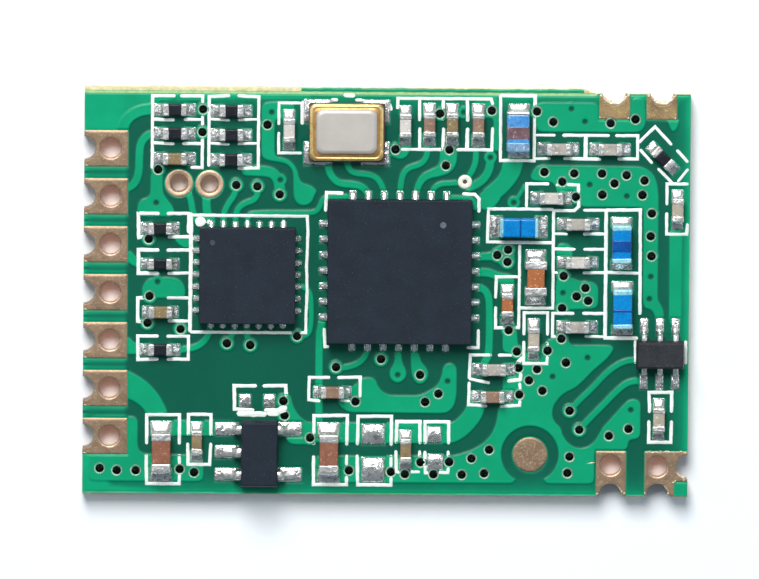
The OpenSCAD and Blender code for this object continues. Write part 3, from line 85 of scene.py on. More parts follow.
# traces: width, points
TRACES = [
    [0.4, [[-11, 6.5], [-10.98, 6.9], [-10.72, 7.26], [-10.3, 7.48], [-9.8, 7.55], [-9.4, 7.55]]],
    [0.28, [[-10.9, 4.2], [-10.5, 4.4], [-10.33, 4.85], [-10.32, 5.6], [-10.28, 6.1], [-10.05, 6.42], [-9.75, 6.52], [-9.4, 6.52]]],
    [0.4, [[-5.85, 5.02], [-5.2, 5], [-4.78, 4.94], [-4.54, 4.68], [-4.47, 4.3], [-4.47, 4.02]]],
    [0.2, [[-6.28, 4.4], [-6.33, 4], [-6.62, 3.62], [-6.8, 3.2], [-6.8, 2.8]]],
    [0.2, [[-5.4, 4.35], [-5.38, 4], [-5.56, 3.76], [-5.95, 3.64], [-6.22, 3.42], [-6.3, 3.1], [-6.3, 2.8]]],
    [0.17, [[-5.8, 2.8], [-5.8, 3.1], [-5.62, 3.26], [-3.3, 3.26], [-2.95, 3.3], [-2.78, 3.55], [-2.72, 3.8], [-2.5, 3.94], [-1.43, 3.95]]],
    [0.22, [[-8.3, 4.2], [-8.14, 3.7], [-8.1, 3.3], [-7.9, 2.9]]],
    [0.3, [[-7.5, 4.1], [-7.52, 3.6], [-7.48, 3.2], [-7.3, 2.9]]],
    [0.25, [[-2.5, 5.6], [-2.46, 5.05], [-2.24, 4.68], [-1.95, 4.48], [-1.3, 4.46], [-0.95, 4.32], [-0.77, 4.05]]],
    [0.2, [[-1.75, 5.6], [-1.62, 5.1], [-1.35, 4.92], [-0.7, 4.88], [-0.38, 4.7], [-0.2, 4.38], [-0.12, 4.05]]],
    [0.2, [[1.68, 6.2], [1.64, 5.6], [1.36, 5.3], [0.95, 5.2], [0.68, 5], [0.57, 4.6], [0.53, 4.05]]],
    [0.18, [[3.23, 4.6], [2.8, 4.54], [2.2, 4.52], [1.94, 4.34], [1.83, 4.05]]],
    [0.2, [[3.68, 6.2], [3.68, 5.5], [3.58, 5.15], [3.4, 4.85], [3.23, 4.6]]],
    [0.3, [[4.3, 5.65], [4.24, 5.1], [4.02, 4.72], [3.7, 4.48], [3.4, 4.36]]],
    [0.14, [[2.48, 3.95], [3.45, 3.93], [3.62, 3.82], [3.66, 3.5]]],
    [0.5, [[0.3, 5.9], [0.6, 5.75], [0.72, 6.2]]],
    [0.26, [[3.7, 0.22], [4.02, 0.16], [4.22, -0.06], [4.3, -0.5], [4.3, -2.2], [4.26, -2.7], [4, -3.1]]],
    [0.26, [[-2.6, -1.1], [-2.72, -1.5], [-2.78, -1.9], [-2.78, -4.2], [-2.76, -5.6]]],
    [0.2, [[-0.77, -2.3], [-0.84, -2.7], [-1.15, -3.02], [-1.6, -3.18], [-2.07, -3.2]]],
    [0.18, [[-0.12, -2.3], [-0.2, -2.82]]],
    [0.17, [[-3.75, 0.17], [-3.4, 0.17], [-3.18, -0.05], [-3.12, -0.5], [-3.12, -1.5], [-3.26, -1.84], [-3.7, -1.95]]],
    [0.22, [[-7.3, -1.4], [-7.36, -1.8], [-7.6, -2.18], [-8, -2.42], [-8.7, -2.5]]],
    [0.2, [[-6.3, -1.4], [-6.36, -1.8], [-6.6, -2.15]]],
    [0.2, [[-5.8, -1.4], [-5.8, -1.9], [-5.65, -2.27]]],
    [0.2, [[7.67, -4.93], [8.05, -4.5], [8.6, -3.98], [9.15, -3.36], [9.65, -2.98], [10.1, -2.8], [10.7, -2.78]]],
    [0.22, [[8.08, -5.72], [8.5, -5.24], [9, -4.74], [9.5, -4.2], [9.95, -3.8], [10.3, -3.66], [10.8, -3.66]]],
    [0.12, [[5.27, 3.75], [5.48, 4.02], [5.7, 4.42]]]]
# filled vias
DIMPLES = [[-4.83, 7.45], [-4.45, 4.63], [-9.6, 3.65], [-9.52, 0.35], [7.63, 7.68], [8.2, 7.15], [8.42, 4.52],
    [9.97, 4.05], [11, 0.7], [10.95, -0.23], [7.35, 0], [6.95, -3.5], [8.4, -2.7], [0.5, -3.47], [2.58, -3.72],
    [4.28, 5.62], [5.27, 3.75], [10.22, -4.87], [3.15, 7.5]]
# legend lines: width, points
INK = [
    [0.12, [[-8.87, 8.1], [-9.78, 8.1], [-9.78, 5.1]]],
    [0.12, [[-8.6, 8.1], [-7.7, 8.1], [-7.7, 7.85]]],
    [0.12, [[-9.74, 7.12], [-8.9, 7.1]]], [0.12, [[-8.45, 7.12], [-7.75, 7.12]]],
    [0.12, [[-9.74, 6.14], [-8.9, 6.1]]], [0.12, [[-8.5, 6.12], [-7.75, 6.12]]],
    [0.12, [[-7.7, 7.25], [-7.7, 6.92]]], [0.12, [[-7.7, 6.32], [-7.7, 5.12], [-8.15, 5.12]]],
    [0.12, [[-6.6, 8.12], [-7.43, 8.08], [-7.43, 5.2]]],
    [0.12, [[-6.22, 8.12], [-5.37, 8.08], [-5.37, 5.12], [-6.2, 5.1]]],
    [0.1, [[-7.38, 7.15], [-6.6, 7.1]]], [0.1, [[-6.2, 7.12], [-5.42, 7.14]]],
    [0.1, [[-7.38, 6.14], [-6.6, 6.1]]], [0.1, [[-6.2, 6.12], [-5.42, 6.15]]],
    [0.11, [[-4.53, 6.95], [-4.53, 7.84], [-3.62, 7.84]]], [0.11, [[-4.53, 6.6], [-4.53, 5.75], [-3.6, 5.75]]],
    [0.13, [[-2.12, 7.98], [-3.4, 7.98], [-3.56, 7.84], [-3.56, 6.98]]],
    [0.13, [[-1.32, 7.98], [-0.6, 7.98]]], [0.13, [[-0.45, 7.98], [0, 7.95], [0.14, 7.6]]],
    [0.16, [[-1.8, 8.18], [-1.42, 8.16]]],
    [0.12, [[0.4, 7.65], [0.42, 8.06], [4.3, 8.06], [4.36, 7.85]]],
    [0.12, [[4.36, 6.85], [4.33, 5.94], [2.9, 5.94]]], [0.12, [[2.25, 5.94], [0.6, 5.94]]],
    [0.12, [[1.32, 8], [1.32, 7.15]]], [0.12, [[1.33, 6.82], [1.33, 6]]],
    [0.13, [[2.3, 8], [2.3, 7.2]]], [0.12, [[2.32, 6.82], [2.3, 6]]],
    [0.13, [[3.3, 8], [3.32, 7.15]]], [0.15, [[3.32, 6.82], [3.3, 6]]],
    [0.13, [[4.68, 8.2], [6.12, 8.2], [6.12, 7.8]]], [0.12, [[6.1, 7.3], [6.1, 5.5], [4.7, 5.5], [4.68, 8.2]]],
    [0.1, [[6.15, 6.57], [6.95, 6.57]]], [0.12, [[7.3, 6.57], [9.2, 6.57]]], [0.12, [[9.5, 6.57], [10.4, 6.57], [10.4, 5.6], [9.6, 5.6]]],
    [0.1, [[6.15, 5.58], [6.75, 5.6]]], [0.12, [[7.35, 5.6], [8.85, 5.58]]], [0.16, [[8.24, 6.5], [8.24, 5.62]]],
    [0.12, [[10.46, 6.3], [11.12, 6.95], [11.8, 6.22]]], [0.12, [[12.05, 5.97], [12.48, 5.5]]],
    [0.12, [[10.52, 5.98], [11, 5.45]]], [0.12, [[11.27, 5.2], [11.85, 4.62]]], [0.1, [[12.1, 4.68], [12.5, 5.18]]],
    [0.12, [[12.5, 4.57], [11.64, 4.57], [11.64, 3.72]]], [0.12, [[11.64, 3.35], [11.64, 2.48], [12.48, 2.48], [12.5, 2.9]]],
    [0.12, [[6.7, 4.54], [5.8, 4.54], [5.8, 3.6]]], [0.12, [[7.05, 4.5], [7.1, 4.5]]], [0.12, [[7.5, 4.52], [7.95, 4.5], [7.97, 3.6], [7.8, 3.43], [6.95, 3.43]]],
    [0.12, [[6.9, 3.48], [4.22, 3.48], [4.18, 2.1], [6.88, 2.08]]], [0.12, [[6.93, 3.4], [6.93, -0.65], [5.5, -0.65]]],
    [0.12, [[8.2, 3.45], [9.13, 3.45]]], [0.1, [[6.98, 2.46], [7.5, 2.45]]], [0.12, [[8.2, 2.46], [9.1, 2.46]]],
    [0.12, [[6.98, 1.83], [7.82, 1.82]]], [0.12, [[8.22, 1.82], [9.1, 1.82]]], [0.12, [[8.2, 0.84], [9.1, 0.85]]], [0.1, [[6.98, 0.85], [7.1, 0.83]]],
    [0.14, [[9.12, 3.46], [9.12, -1.88], [10.45, -1.88]]], [0.13, [[9.12, 3.46], [10.54, 3.48], [10.56, -0.86]]], [0.12, [[9.15, 0.86], [10.5, 0.84]]],
    [0.12, [[5.53, 1.96], [5.53, 0.65]]], [0.12, [[5.5, 0.65], [4.57, 0.65], [4.55, -0.22]]], [0.12, [[4.55, -0.62], [4.55, -1.48], [4.9, -1.48]]], [0.12, [[5.32, -1.47], [5.52, -1.46], [5.53, 0.6]]],
    [0.12, [[5.74, -1.75], [5.74, -0.84], [6.72, -0.84], [6.72, -1.75]]], [0.12, [[5.74, -2.05], [5.74, -2.96], [6.7, -2.96], [6.72, -2.68]]], [0.12, [[6.7, -2.08], [6.72, -2.2]]],
    [0.12, [[7.8, -0.86], [6.93, -0.86], [6.93, -1.82], [7.1, -1.83]]], [0.12, [[8.2, -0.85], [9.08, -0.86]]], [0.1, [[8.3, -1.82], [9.1, -1.83]]],
    [0.12, [[4.38, -2.62], [3.52, -2.62], [3.48, -3.6]]], [0.12, [[4.7, -2.62], [5.22, -2.62]]], [0.12, [[3.5, -3.62], [4.3, -3.78]]], [0.12, [[3.48, -3.78], [3.46, -4.7], [4.2, -4.74]]],
    [0.14, [[5.1, -3.7], [5.6, -3.64], [5.62, -3.4]]], [0.12, [[5.58, -3.8], [5.6, -4.02]]], [0.12, [[4.8, -4.76], [5.58, -4.72], [5.6, -4.52]]], [0.16, [[5.5, -2.92], [5.68, -2.72]]],
    [0.12, [[-2.35, -3.6], [-3.18, -3.6], [-3.2, -4.54], [-2.75, -4.58]]], [0.12, [[-1.98, -3.6], [-1.06, -3.58], [-1.06, -4.38]]], [0.1, [[-1.85, -4.55], [-1.5, -4.58]]],
    [0.13, [[-9.93, -6.4], [-9.93, -5.2], [-8.57, -5.2], [-8.57, -6.4]]], [0.13, [[-9.94, -6.88], [-9.92, -8.08], [-8.57, -8.08], [-8.55, -7.7]]], [0.12, [[-8.57, -6.88], [-8.56, -7.22]]],
    [0.13, [[-8.2, -6.02], [-8.2, -5.18], [-7.26, -5.18], [-7.26, -6.02]]], [0.13, [[-8.22, -6.4], [-8.2, -7.27], [-7.3, -7.27], [-7.26, -6.4]]],
    [0.13, [[-2.97, -6.38], [-2.97, -5.2], [-1.58, -5.18], [-1.6, -6.4]]], [0.13, [[-2.98, -6.9], [-2.97, -8.08], [-1.6, -8.08], [-1.6, -7.75]]], [0.12, [[-1.6, -6.86], [-1.6, -7.22]]],
    [0.13, [[-1.15, -6.38], [-1.13, -5.22], [0.26, -5.2], [0.25, -6.4]]], [0.13, [[-1.16, -6.86], [-1.13, -8.08], [0.25, -8.08], [0.26, -7.78]]], [0.12, [[0.25, -6.86], [0.25, -7.28]]],
    [0.13, [[0.46, -6.3], [0.48, -5.42], [1.44, -5.42], [1.45, -6.32]]], [0.13, [[0.45, -6.66], [0.48, -7.52], [0.58, -7.54]]], [0.12, [[1.44, -6.66], [1.44, -6.86]]], [0.12, [[1.1, -7.52], [1.42, -7.52]]],
    [0.13, [[1.66, -6.32], [1.66, -5.42], [2.64, -5.42], [2.64, -6.32]]], [0.13, [[1.66, -6.68], [1.68, -7.55], [1.78, -7.56]]], [0.12, [[2.63, -6.66], [2.63, -6.84]]], [0.12, [[2.28, -7.54], [2.62, -7.54], [2.64, -7.36]]],
    [0.14, [[-5.4, -3.97], [-6.3, -3.97], [-6.28, -4.95], [-5.5, -4.98]]], [0.14, [[-5.08, -3.97], [-4.16, -3.95], [-4.14, -4.35]]], [0.16, [[-4.14, -4.86], [-4.4, -5], [-5.0, -4.98]]], [0.16, [[-6.1, -5.16], [-4.98, -5.15]]], [0.16, [[-4.75, -5.15], [-4.46, -5.14]]],
    [0.13, [[11, -4.95], [10.98, -4.14], [11.92, -4.13], [11.92, -4.94]]], [0.13, [[10.98, -5.34], [10.98, -6.22], [11.9, -6.22], [11.92, -5.34]]],
    [0.14, [[-9.5, 3.2], [-10.34, 3.2], [-10.32, 2.2], [-10.12, 2.22]]], [0.13, [[-9.12, 3.2], [-8.2, 3.2]]], [0.12, [[-9.08, 2.22], [-8.2, 2.24]]],
    [0.14, [[-9.5, 1.67], [-10.32, 1.68], [-10.32, 0.7], [-9.5, 0.7]]], [0.13, [[-9.12, 1.67], [-8.2, 1.68]]], [0.12, [[-9.08, 0.7], [-8.2, 0.72]]],
    [0.14, [[-10.1, -0.32], [-10.34, -0.34], [-10.34, -1.3], [-10.18, -1.32]]], [0.12, [[-9.1, -0.32], [-8.2, -0.32]]], [0.12, [[-9.05, -1.28], [-8.2, -1.28]]],
    [0.13, [[-9.5, -1.92], [-10.33, -1.92], [-10.32, -2.9], [-9.5, -2.88]]], [0.12, [[-9.1, -1.92], [-8.22, -1.92], [-8.22, -2.88], [-9.08, -2.88]]],
    [0.15, [[-8.14, 3.2], [-8.16, -1.7]]], [0.12, [[-8.2, 3.14], [-3.32, 3.12], [-3.28, 2.5], [-3.33, 1], [-3.3, 0], [-3.34, -1.2], [-3.34, -1.74], [-8.12, -1.74]]],
    [0.13, [[-1.86, 4.1], [-2.52, 4.12], [-2.56, 3.36]]], [0.13, [[3.16, 4.1], [3.64, 4.08], [3.82, 3.9], [3.82, 3.36]]],
    [0.12, [[-2.58, -1.56], [-2.54, -2.32], [-2.4, -2.32]]], [0.12, [[3.84, -1.58], [3.84, -2.32], [3.4, -2.32]]],
    [0.12, [[10.38, -2], [10.4, -2.9]]], [0.12, [[12.48, -2], [12.48, -2.92]]]]
# chip parts: x, y, turn, length, width, height, land reach, land width
RESISTORS = [
    [-8.85, 7.53, 0, 1, 0.5, 0.36, 0.38, 0.52], [-8.85, 6.54, 0, 1, 0.5, 0.36, 0.38, 0.52],
    [-6.5, 7.5, 0, 1, 0.52, 0.36, 0.36, 0.52], [-6.5, 6.5, 0, 1, 0.52, 0.36, 0.36, 0.52], [-6.5, 5.46, 0, 1, 0.52, 0.36, 0.36, 0.52],
    [-9.43, 2.58, 0, 1, 0.5, 0.36, 0.3, 0.52], [-9.42, 1.1, 0, 1, 0.45, 0.36, 0.3, 0.48], [-9.4, -2.48, 0, 1, 0.5, 0.36, 0.34, 0.5],
    [11.45, 5.65, -45, 1, 0.5, 0.36, 0.3, 0.5]]
# chip parts
CAPACITORS = [
    [-8.85, 5.5, 0, 1, 0.5, 0.5, 0.38, 0.52], [-4.1, 6.72, 90, 1, 0.5, 0.5, 0.36, 0.52],
    [0.73, 6.94, 90, 1, 0.5, 0.5, 0.34, 0.5], [1.73, 6.98, 90, 1, 0.5, 0.5, 0.4, 0.54],
    [2.68, 6.98, 90, 1, 0.5, 0.5, 0.4, 0.54], [3.76, 6.97, 90, 1, 0.5, 0.5, 0.4, 0.56],
    [7.1, 6, 0, 1, 0.5, 0.5, 0.36, 0.54], [9.25, 6, 0, 1, 0.5, 0.5, 0.36, 0.54],
    [12.08, 3.5, 90, 1, 0.5, 0.5, 0.34, 0.5], [6.82, 3.95, 0, 1, 0.5, 0.5, 0.36, 0.54],
    [7.95, 2.87, 0, 1, 0.5, 0.5, 0.38, 0.52], [7.95, 1.28, 0, 1, 0.5, 0.5, 0.36, 0.5],
    [6.2, 0.64, 90, 1.6, 0.82, 0.8, 0.36, 0.86], [5.03, -0.5, 90, 1, 0.5, 0.5, 0.34, 0.56],
    [6.14, -1.95, 90, 1, 0.5, 0.5, 0.38, 0.5], [7.95, -1.42, 0, 1, 0.5, 0.5, 0.36, 0.54],
    [4.5, -3.22, 0, 1, 0.5, 0.5, 0.4, 0.52], [4.45, -4.35, 0, 1, 0.5, 0.5, 0.38, 0.5],
    [-2.22, -4.2, 0, 1, 0.5, 0.5, 0.3, 0.5], [-9.4, -0.9, 0, 1, 0.5, 0.5, 0.26, 0.5],
    [-9.33, -6.72, 90, 1.6, 0.8, 0.8, 0.46, 0.92], [-7.85, -6.32, 90, 1, 0.46, 0.5, 0.34, 0.52],
    [-2.36, -6.74, 90, 1.6, 0.8, 0.8, 0.46, 0.96], [0.85, -6.6, 90, 1, 0.48, 0.5, 0.34, 0.54],
    [11.38, -5.25, 90, 1, 0.5, 0.5, 0.38, 0.5]]
# chip parts
INDUCTORS = [
    [5.46, 6.74, 90, 1.7, 0.85, 0.8, 0.28, 0.9], [5.48, 2.74, 0, 1.6, 0.8, 0.8, 0.4, 0.94],
    [9.76, 2.08, 90, 1.6, 0.8, 0.8, 0.3, 0.9], [9.82, -0.62, 90, 1.65, 0.8, 0.8, 0.3, 0.9]]
# tinned lands with no part
BARE = [[-5.85, -4.57, 0.52, 0.54], [-4.84, -4.57, 0.52, 0.54], [-0.5, -5.95, 1, 0.86], [-0.5, -7.44, 1, 1.06],
    [2.05, -5.95, 0.62, 0.68], [2.1, -7.1, 0.68, 0.68]]

# ---------------------------------------------------------------- numbers and helpers
Z0, LAM0, LAM1, ZCU, ZTOP = 0.0, 0.055, 0.985, 1.02, 1.04
ZP = 1.04
HL, HW = 12.6, 8.5


def srgb(r, g, b, a=1.0):
    f = lambda c: c / 12.92 if c <= 0.04045 else ((c + 0.055) / 1.055) ** 2.4
    return (f(r / 255), f(g / 255), f(b / 255), a)


def lat(ix, iy, seed):
    n = (ix * 374761393 + iy * 668265263 + seed * 144269504) & 0xFFFFFFFF
    n = ((n ^ (n >> 13)) * 1274126177) & 0xFFFFFFFF
    return ((n ^ (n >> 16)) & 0xFFFF) / 65535.0


def noise(x, y, seed=0):
    x, y = np.asarray(x, float), np.asarray(y, float)
    ix, iy = np.floor(x).astype(np.int64), np.floor(y).astype(np.int64)
    fx, fy = x - ix, y - iy
    fx, fy = fx * fx * (3 - 2 * fx), fy * fy * (3 - 2 * fy)
    a, b = lat(ix, iy, seed), lat(ix + 1, iy, seed)
    c, d = lat(ix, iy + 1, seed), lat(ix + 1, iy + 1, seed)
    return 2 * ((a * (1 - fx) + b * fx) * (1 - fy) + (c * (1 - fx) + d * fx) * fy) - 1


def step(a, b, x):
    t = np.clip((x - a) / (b - a), 0, 1)
    return t * t * (3 - 2 * t)


def chaikin(p, n):
    for _ in range(n):
        if len(p) < 3:
            return p
        q = [p[0]]
        for i in range(1, len(p) - 1):
            q.append([0.25 * p[i - 1][k] + 0.75 * p[i][k] for k in range(2)])
            q.append([0.75 * p[i][k] + 0.25 * p[i + 1][k] for k in range(2)])
        p = q + [p[-1]]
    return p


def round_poly(p, n=2):
    """A closed outline with its corners cut, so it reads as etched copper."""
    for _ in range(n):
        q = []
        for i in range(len(p)):
            a, b = p[i], p[(i + 1) % len(p)]
            t = min(0.25, 0.12 / max(math.dist(a, b), 1e-6))
            q.append([a[0] + (b[0] - a[0]) * t, a[1] + (b[1] - a[1]) * t])
            q.append([b[0] - (b[0] - a[0]) * t, b[1] - (b[1] - a[1]) * t])
        p = q
    return p


# ---------------------------------------------------------------- mesh builders
class Acc:
    """Vertices in millimetres and faces, gathered from many small shapes."""

    def __init__(self):
        self.v, self.f, self.c = [], [], []

    def add(self, V, F, col=None):
        o = len(self.v)
        self.v += [tuple(p) for p in V]
        self.f += [tuple(i + o for i in f) for f in F]
        self.c += [col if col is not None else (0, 0, 0)] * len(V) if not isinstance(col, list) else col
        return self


def turn(V, cx, cy, deg, z=0.0):
    c, s = math.cos(math.radians(deg)), math.sin(math.radians(deg))
    return [(cx + c * x - s * y, cy + s * x + c * y, z + w) for x, y, w in V]


def make(name, acc, material, replaces=(), angle=35, attr=False, smooth=True):
    V = np.array(acc.v, float) * 0.001
    me = bpy.data.meshes.new(name)
    me.from_pydata(V.tolist(), [], acc.f)
    me.validate(clean_customdata=False)
    me.update()
    if smooth:
        me.polygons.foreach_set("use_smooth", [True] * len(me.polygons))
        if angle:
            me.set_sharp_from_angle(angle=math.radians(angle))
    if attr:
        col = me.color_attributes.new("paint", "FLOAT_COLOR", "POINT")
        a = np.ones((len(V), 4), np.float32)
        a[:, :3] = np.array(acc.c, np.float32)
        col.data.foreach_set("color", a.ravel())
    me.materials.append(material)
    ob = bpy.data.objects.new(name, me)
    bpy.context.scene.collection.objects.link(ob)
    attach(ob, "root")
    if replaces:
        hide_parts(*replaces)
    return ob


def rr(hl, hw, r, n=4):
    r = max(min(r, hl - 1e-4, hw - 1e-4), 1e-4)
    pts = []
    for k, (sx, sy) in enumerate(((1, 1), (-1, 1), (-1, -1), (1, -1))):
        for i in range(n + 1):
            a = math.pi / 2 * (k + i / n)
            pts.append((sx * (hl - r) + r * math.cos(a), sy * (hw - r) + r * math.sin(a)))
    return pts


def loft(rings, n=4, caps=(True, True)):
    """Rounded rectangles stacked along z: each ring is half length, half width, corner radius, z."""
    V, F = [], []
    m = 4 * (n + 1)
    a, c = rings[0], rings[-1]
    e = 0.12 * min(a[0], a[1])
    rings = [(a[0] - e, a[1] - e, max(a[2] - e, 0.002), a[3])] * caps[0] + list(rings)
    e = min(0.02, 0.12 * min(c[0], c[1]))
    rings += [(c[0] - e, c[1] - e, max(c[2] - e, 0.002), c[3])] * caps[1]
    for hl, hw, r, z in rings:
        V += [(x, y, z) for x, y in rr(hl, hw, r, n)]
    for k in range(len(rings) - 1):
        for i in range(m):
            j = (i + 1) % m
            F.append((k * m + i, k * m + j, (k + 1) * m + j, (k + 1) * m + i))
    if caps[0]:
        F.append(tuple(reversed(range(m))))
    if caps[1]:
        F.append(tuple((len(rings) - 1) * m + i for i in range(m)))
    return V, F


def softbox(hl, hw, z0, z1, b, r, n=4):
    q = 0.3 * b
    return loft([(hl - b, hw - b, max(r - b, 0.004), z0), (hl - q, hw - q, r, z0 + q), (hl, hw, r, z0 + b), (hl, hw, r, z1 - b),
                 (hl - q, hw - q, r, z1 - q), (hl - b * 0.62, hw - b * 0.62, r, z1 - q * 0.35), (hl - b * 1.05, hw - b * 1.05, max(r - b * 0.6, 0.006), z1)], n)


def lathe(profile, seg=32, closed=True):
    """Turned shape round z from (radius, z) points."""
    V, F, m = [], [], len(profile)
    for i in range(seg):
        a = 2 * math.pi * i / seg
        V += [(r * math.cos(a), r * math.sin(a), z) for r, z in profile]
    for i in range(seg):
        j = (i + 1) % seg
        for k in range(m if closed else m - 1):
            l = (k + 1) % m
            F.append((i * m + k, j * m + k, j * m + l, i * m + l))
    return V, F


def arc_wall(cx, cy, r, t, z0, z1, a0, a1, seg=20):
    """Curved plated wall, closed, from angle a0 to a1 in degrees: inner radius r, thickness t."""
    V, F = [], []
    prof = [(r, z0 + 0.01), (r, z1 - 0.015), (r + 0.01, z1), (r + t, z1), (r + t, z0), (r + 0.01, z0)]
    m = len(prof)
    for i in range(seg + 1):
        a = math.radians(a0 + (a1 - a0) * i / seg)
        V += [(cx + q * math.cos(a), cy + q * math.sin(a), z) for q, z in prof]
    for i in range(seg):
        for k in range(m):
            l = (k + 1) % m
            F.append((i * m + k, (i + 1) * m + k, (i + 1) * m + l, i * m + l))
    F.append(tuple(range(m)))
    F.append(tuple(seg * m + k for k in reversed(range(m))))
    return V, F


def region(loops, keep, z_top, z_bot=None, eps=1e-5):
    """Flat region cut out by closed loops, kept where keep(x, y) is true, with a height given at every point."""
    vs, es = [], []
    for lp in loops:
        o = len(vs)
        closed = lp[0]
        pts = lp[1]
        vs += [Vector(p) for p in pts]
        es += [(o + i, o + i + 1) for i in range(len(pts) - 1)]
        if closed:
            es.append((o + len(pts) - 1, o))
    out = geometry.delaunay_2d_cdt(vs, es, [], 0, eps)
    P = np.array([(v[0], v[1]) for v in out[0]])
    T = np.array([t for t in out[2]])
    C = P[T].mean(1)
    T = T[keep(C[:, 0], C[:, 1])]
    used = np.unique(T)
    idx = -np.ones(len(P), int)
    idx[used] = np.arange(len(used))
    P, T = P[used], idx[T]
    e1 = P[T[:, 1]] - P[T[:, 0]]
    e2 = P[T[:, 2]] - P[T[:, 0]]
    flip = (e1[:, 0] * e2[:, 1] - e1[:, 1] * e2[:, 0]) < 0
    T[flip] = T[flip][:, ::-1]
    top = [(x, y, z) for (x, y), z in zip(P, z_top(P[:, 0], P[:, 1]))]
    F = [tuple(int(i) for i in t) for t in T]
    if z_bot is None:
        return top, F
    n = len(top)
    bot = [(x, y, z) for (x, y), z in zip(P, z_bot(P[:, 0], P[:, 1]))]
    seen = {}
    for t in F:
        for i in range(3):
            seen[(t[i], t[(i + 1) % 3])] = True
    walls = [(a, b) for a, b in seen if (b, a) not in seen]
    V = top + bot
    F2 = list(F) + [tuple(n + i for i in reversed(t)) for t in F]
    F2 += [(b, a, n + a, n + b) for a, b in walls]
    return V, F2


def circle_pts(cx, cy, r, n=28):
    return [(cx + r * math.cos(2 * math.pi * i / n), cy + r * math.sin(2 * math.pi * i / n)) for i in range(n)]


def sweep(path, w, t, n=1):
    """Flat strip of width w (along y) and thickness t bent along an x, z path, with eased edges."""
    b = 0.25 * t
    sec = [(-w / 2 + b, -t / 2), (w / 2 - b, -t / 2), (w / 2, -t / 2 + b), (w / 2, t / 2 - b), (w / 2 - b, t / 2), (-w / 2 + b, t / 2), (-w / 2, t / 2 - b), (-w / 2, -t / 2 + b)]
    V, F, m = [], [], len(sec)
    for i, (x, z) in enumerate(path):
        a, c = path[max(i - 1, 0)], path[min(i + 1, len(path) - 1)]
        d = math.hypot(c[0] - a[0], c[1] - a[1])
        nx, nz = -(c[1] - a[1]) / d, (c[0] - a[0]) / d
        V += [(x + nx * q, y, z + nz * q) for y, q in sec]
    for i in range(len(path) - 1):
        for k in range(m):
            l = (k + 1) % m
            F.append((i * m + k, i * m + l, (i + 1) * m + l, (i + 1) * m + k))
    F.append(tuple(reversed(range(m))))
    F.append(tuple((len(path) - 1) * m + k for k in range(m)))
    return V, F


# ---------------------------------------------------------------- materials
def tree(name):
    m = bpy.data.materials.new(name)
    m.use_nodes = True
    nt = m.node_tree
    bs = nt.nodes["Principled BSDF"]
    tc = nt.nodes.new("ShaderNodeTexCoord")
    mp = nt.nodes.new("ShaderNodeMapping")
    mp.inputs["Scale"].default_value = (1000, 1000, 1000)
    nt.links.new(tc.outputs["Object"], mp.inputs["Vector"])
    return m, nt, bs, mp.outputs["Vector"]


def tex(nt, vec, scale, detail=3.0, rough=0.55, kind="ShaderNodeTexNoise"):
    n = nt.nodes.new(kind)
    n.inputs["Scale"].default_value = scale
    if kind == "ShaderNodeTexNoise":
        n.inputs["Detail"].default_value = detail
        n.inputs["Roughness"].default_value = rough
    nt.links.new(vec, n.inputs["Vector"])
    return n.outputs["Distance"] if kind == "ShaderNodeTexVoronoi" else n.outputs["Fac"]


def ramp(nt, fac, stops):
    r = nt.nodes.new("ShaderNodeValToRGB")
    el = r.color_ramp.elements
    while len(el) < len(stops):
        el.new(0.5)
    for e, (p, c) in zip(el, stops):
        e.position = p
        e.color = c if len(c) == 4 else (*c, 1)
    nt.links.new(fac, r.inputs["Fac"])
    return r.outputs["Color"]


def mix(nt, fac, a, b, mode="MIX"):
    n = nt.nodes.new("ShaderNodeMix")
    n.data_type = "RGBA"
    n.blend_type = mode
    for sock, v in ((n.inputs[0], fac), (n.inputs[6], a), (n.inputs[7], b)):
        if isinstance(v, bpy.types.NodeSocket):
            nt.links.new(v, sock)
        else:
            sock.default_value = v
    return n.outputs[2]


def math_node(nt, op, a, b=0.0, c=0.0):
    n = nt.nodes.new("ShaderNodeMath")
    n.operation = op
    for sock, v in zip(n.inputs, (a, b, c)):
        if isinstance(v, bpy.types.NodeSocket):
            nt.links.new(v, sock)
        else:
            sock.default_value = v
    return n.outputs[0]


def bump(nt, bs, height, strength, dist):
    b = nt.nodes.new("ShaderNodeBump")
    b.inputs["Strength"].default_value = strength
    b.inputs["Distance"].default_value = dist * 0.001
    nt.links.new(height, b.inputs["Height"])
    nt.links.new(b.outputs["Normal"], bs.inputs["Normal"])


def spread(nt, fac, lo, hi):
    r = nt.nodes.new("ShaderNodeMapRange")
    nt.links.new(fac, r.inputs["Value"])
    r.inputs["From Min"].default_value = 0.3
    r.inputs["From Max"].default_value = 0.7
    r.inputs["To Min"].default_value = lo
    r.inputs["To Max"].default_value = hi
    return r.outputs["Result"]


def plain(name, c1, c2, scale=3.0, rough=(0.4, 0.55), metal=0.0, grain=(25.0, 0.3, 0.01), spec=None, coat=0.0, speck=None, detail=3.0):
    m, nt, bs, vec = tree(name)
    n1 = tex(nt, vec, scale, detail)
    col = ramp(nt, n1, [(0.3, c1), (0.7, c2)])
    if speck:
        n2 = tex(nt, vec, speck[1], 2.0)
        col = mix(nt, ramp(nt, n2, [(speck[2], (0, 0, 0, 1)), (speck[2] + 0.06, (1, 1, 1, 1))]), col, speck[0])
    nt.links.new(col, bs.inputs["Base Color"])
    bs.inputs["Metallic"].default_value = metal
    n3 = tex(nt, vec, grain[0], 3.0)
    nt.links.new(spread(nt, n3, rough[0], rough[1]), bs.inputs["Roughness"])
    bump(nt, bs, n3, grain[1], grain[2])
    if coat:
        bs.inputs["Coat Weight"].default_value = coat
        bs.inputs["Coat Roughness"].default_value = 0.12
    if spec is not None:
        bs.inputs["Specular IOR Level"].default_value = spec
    return m


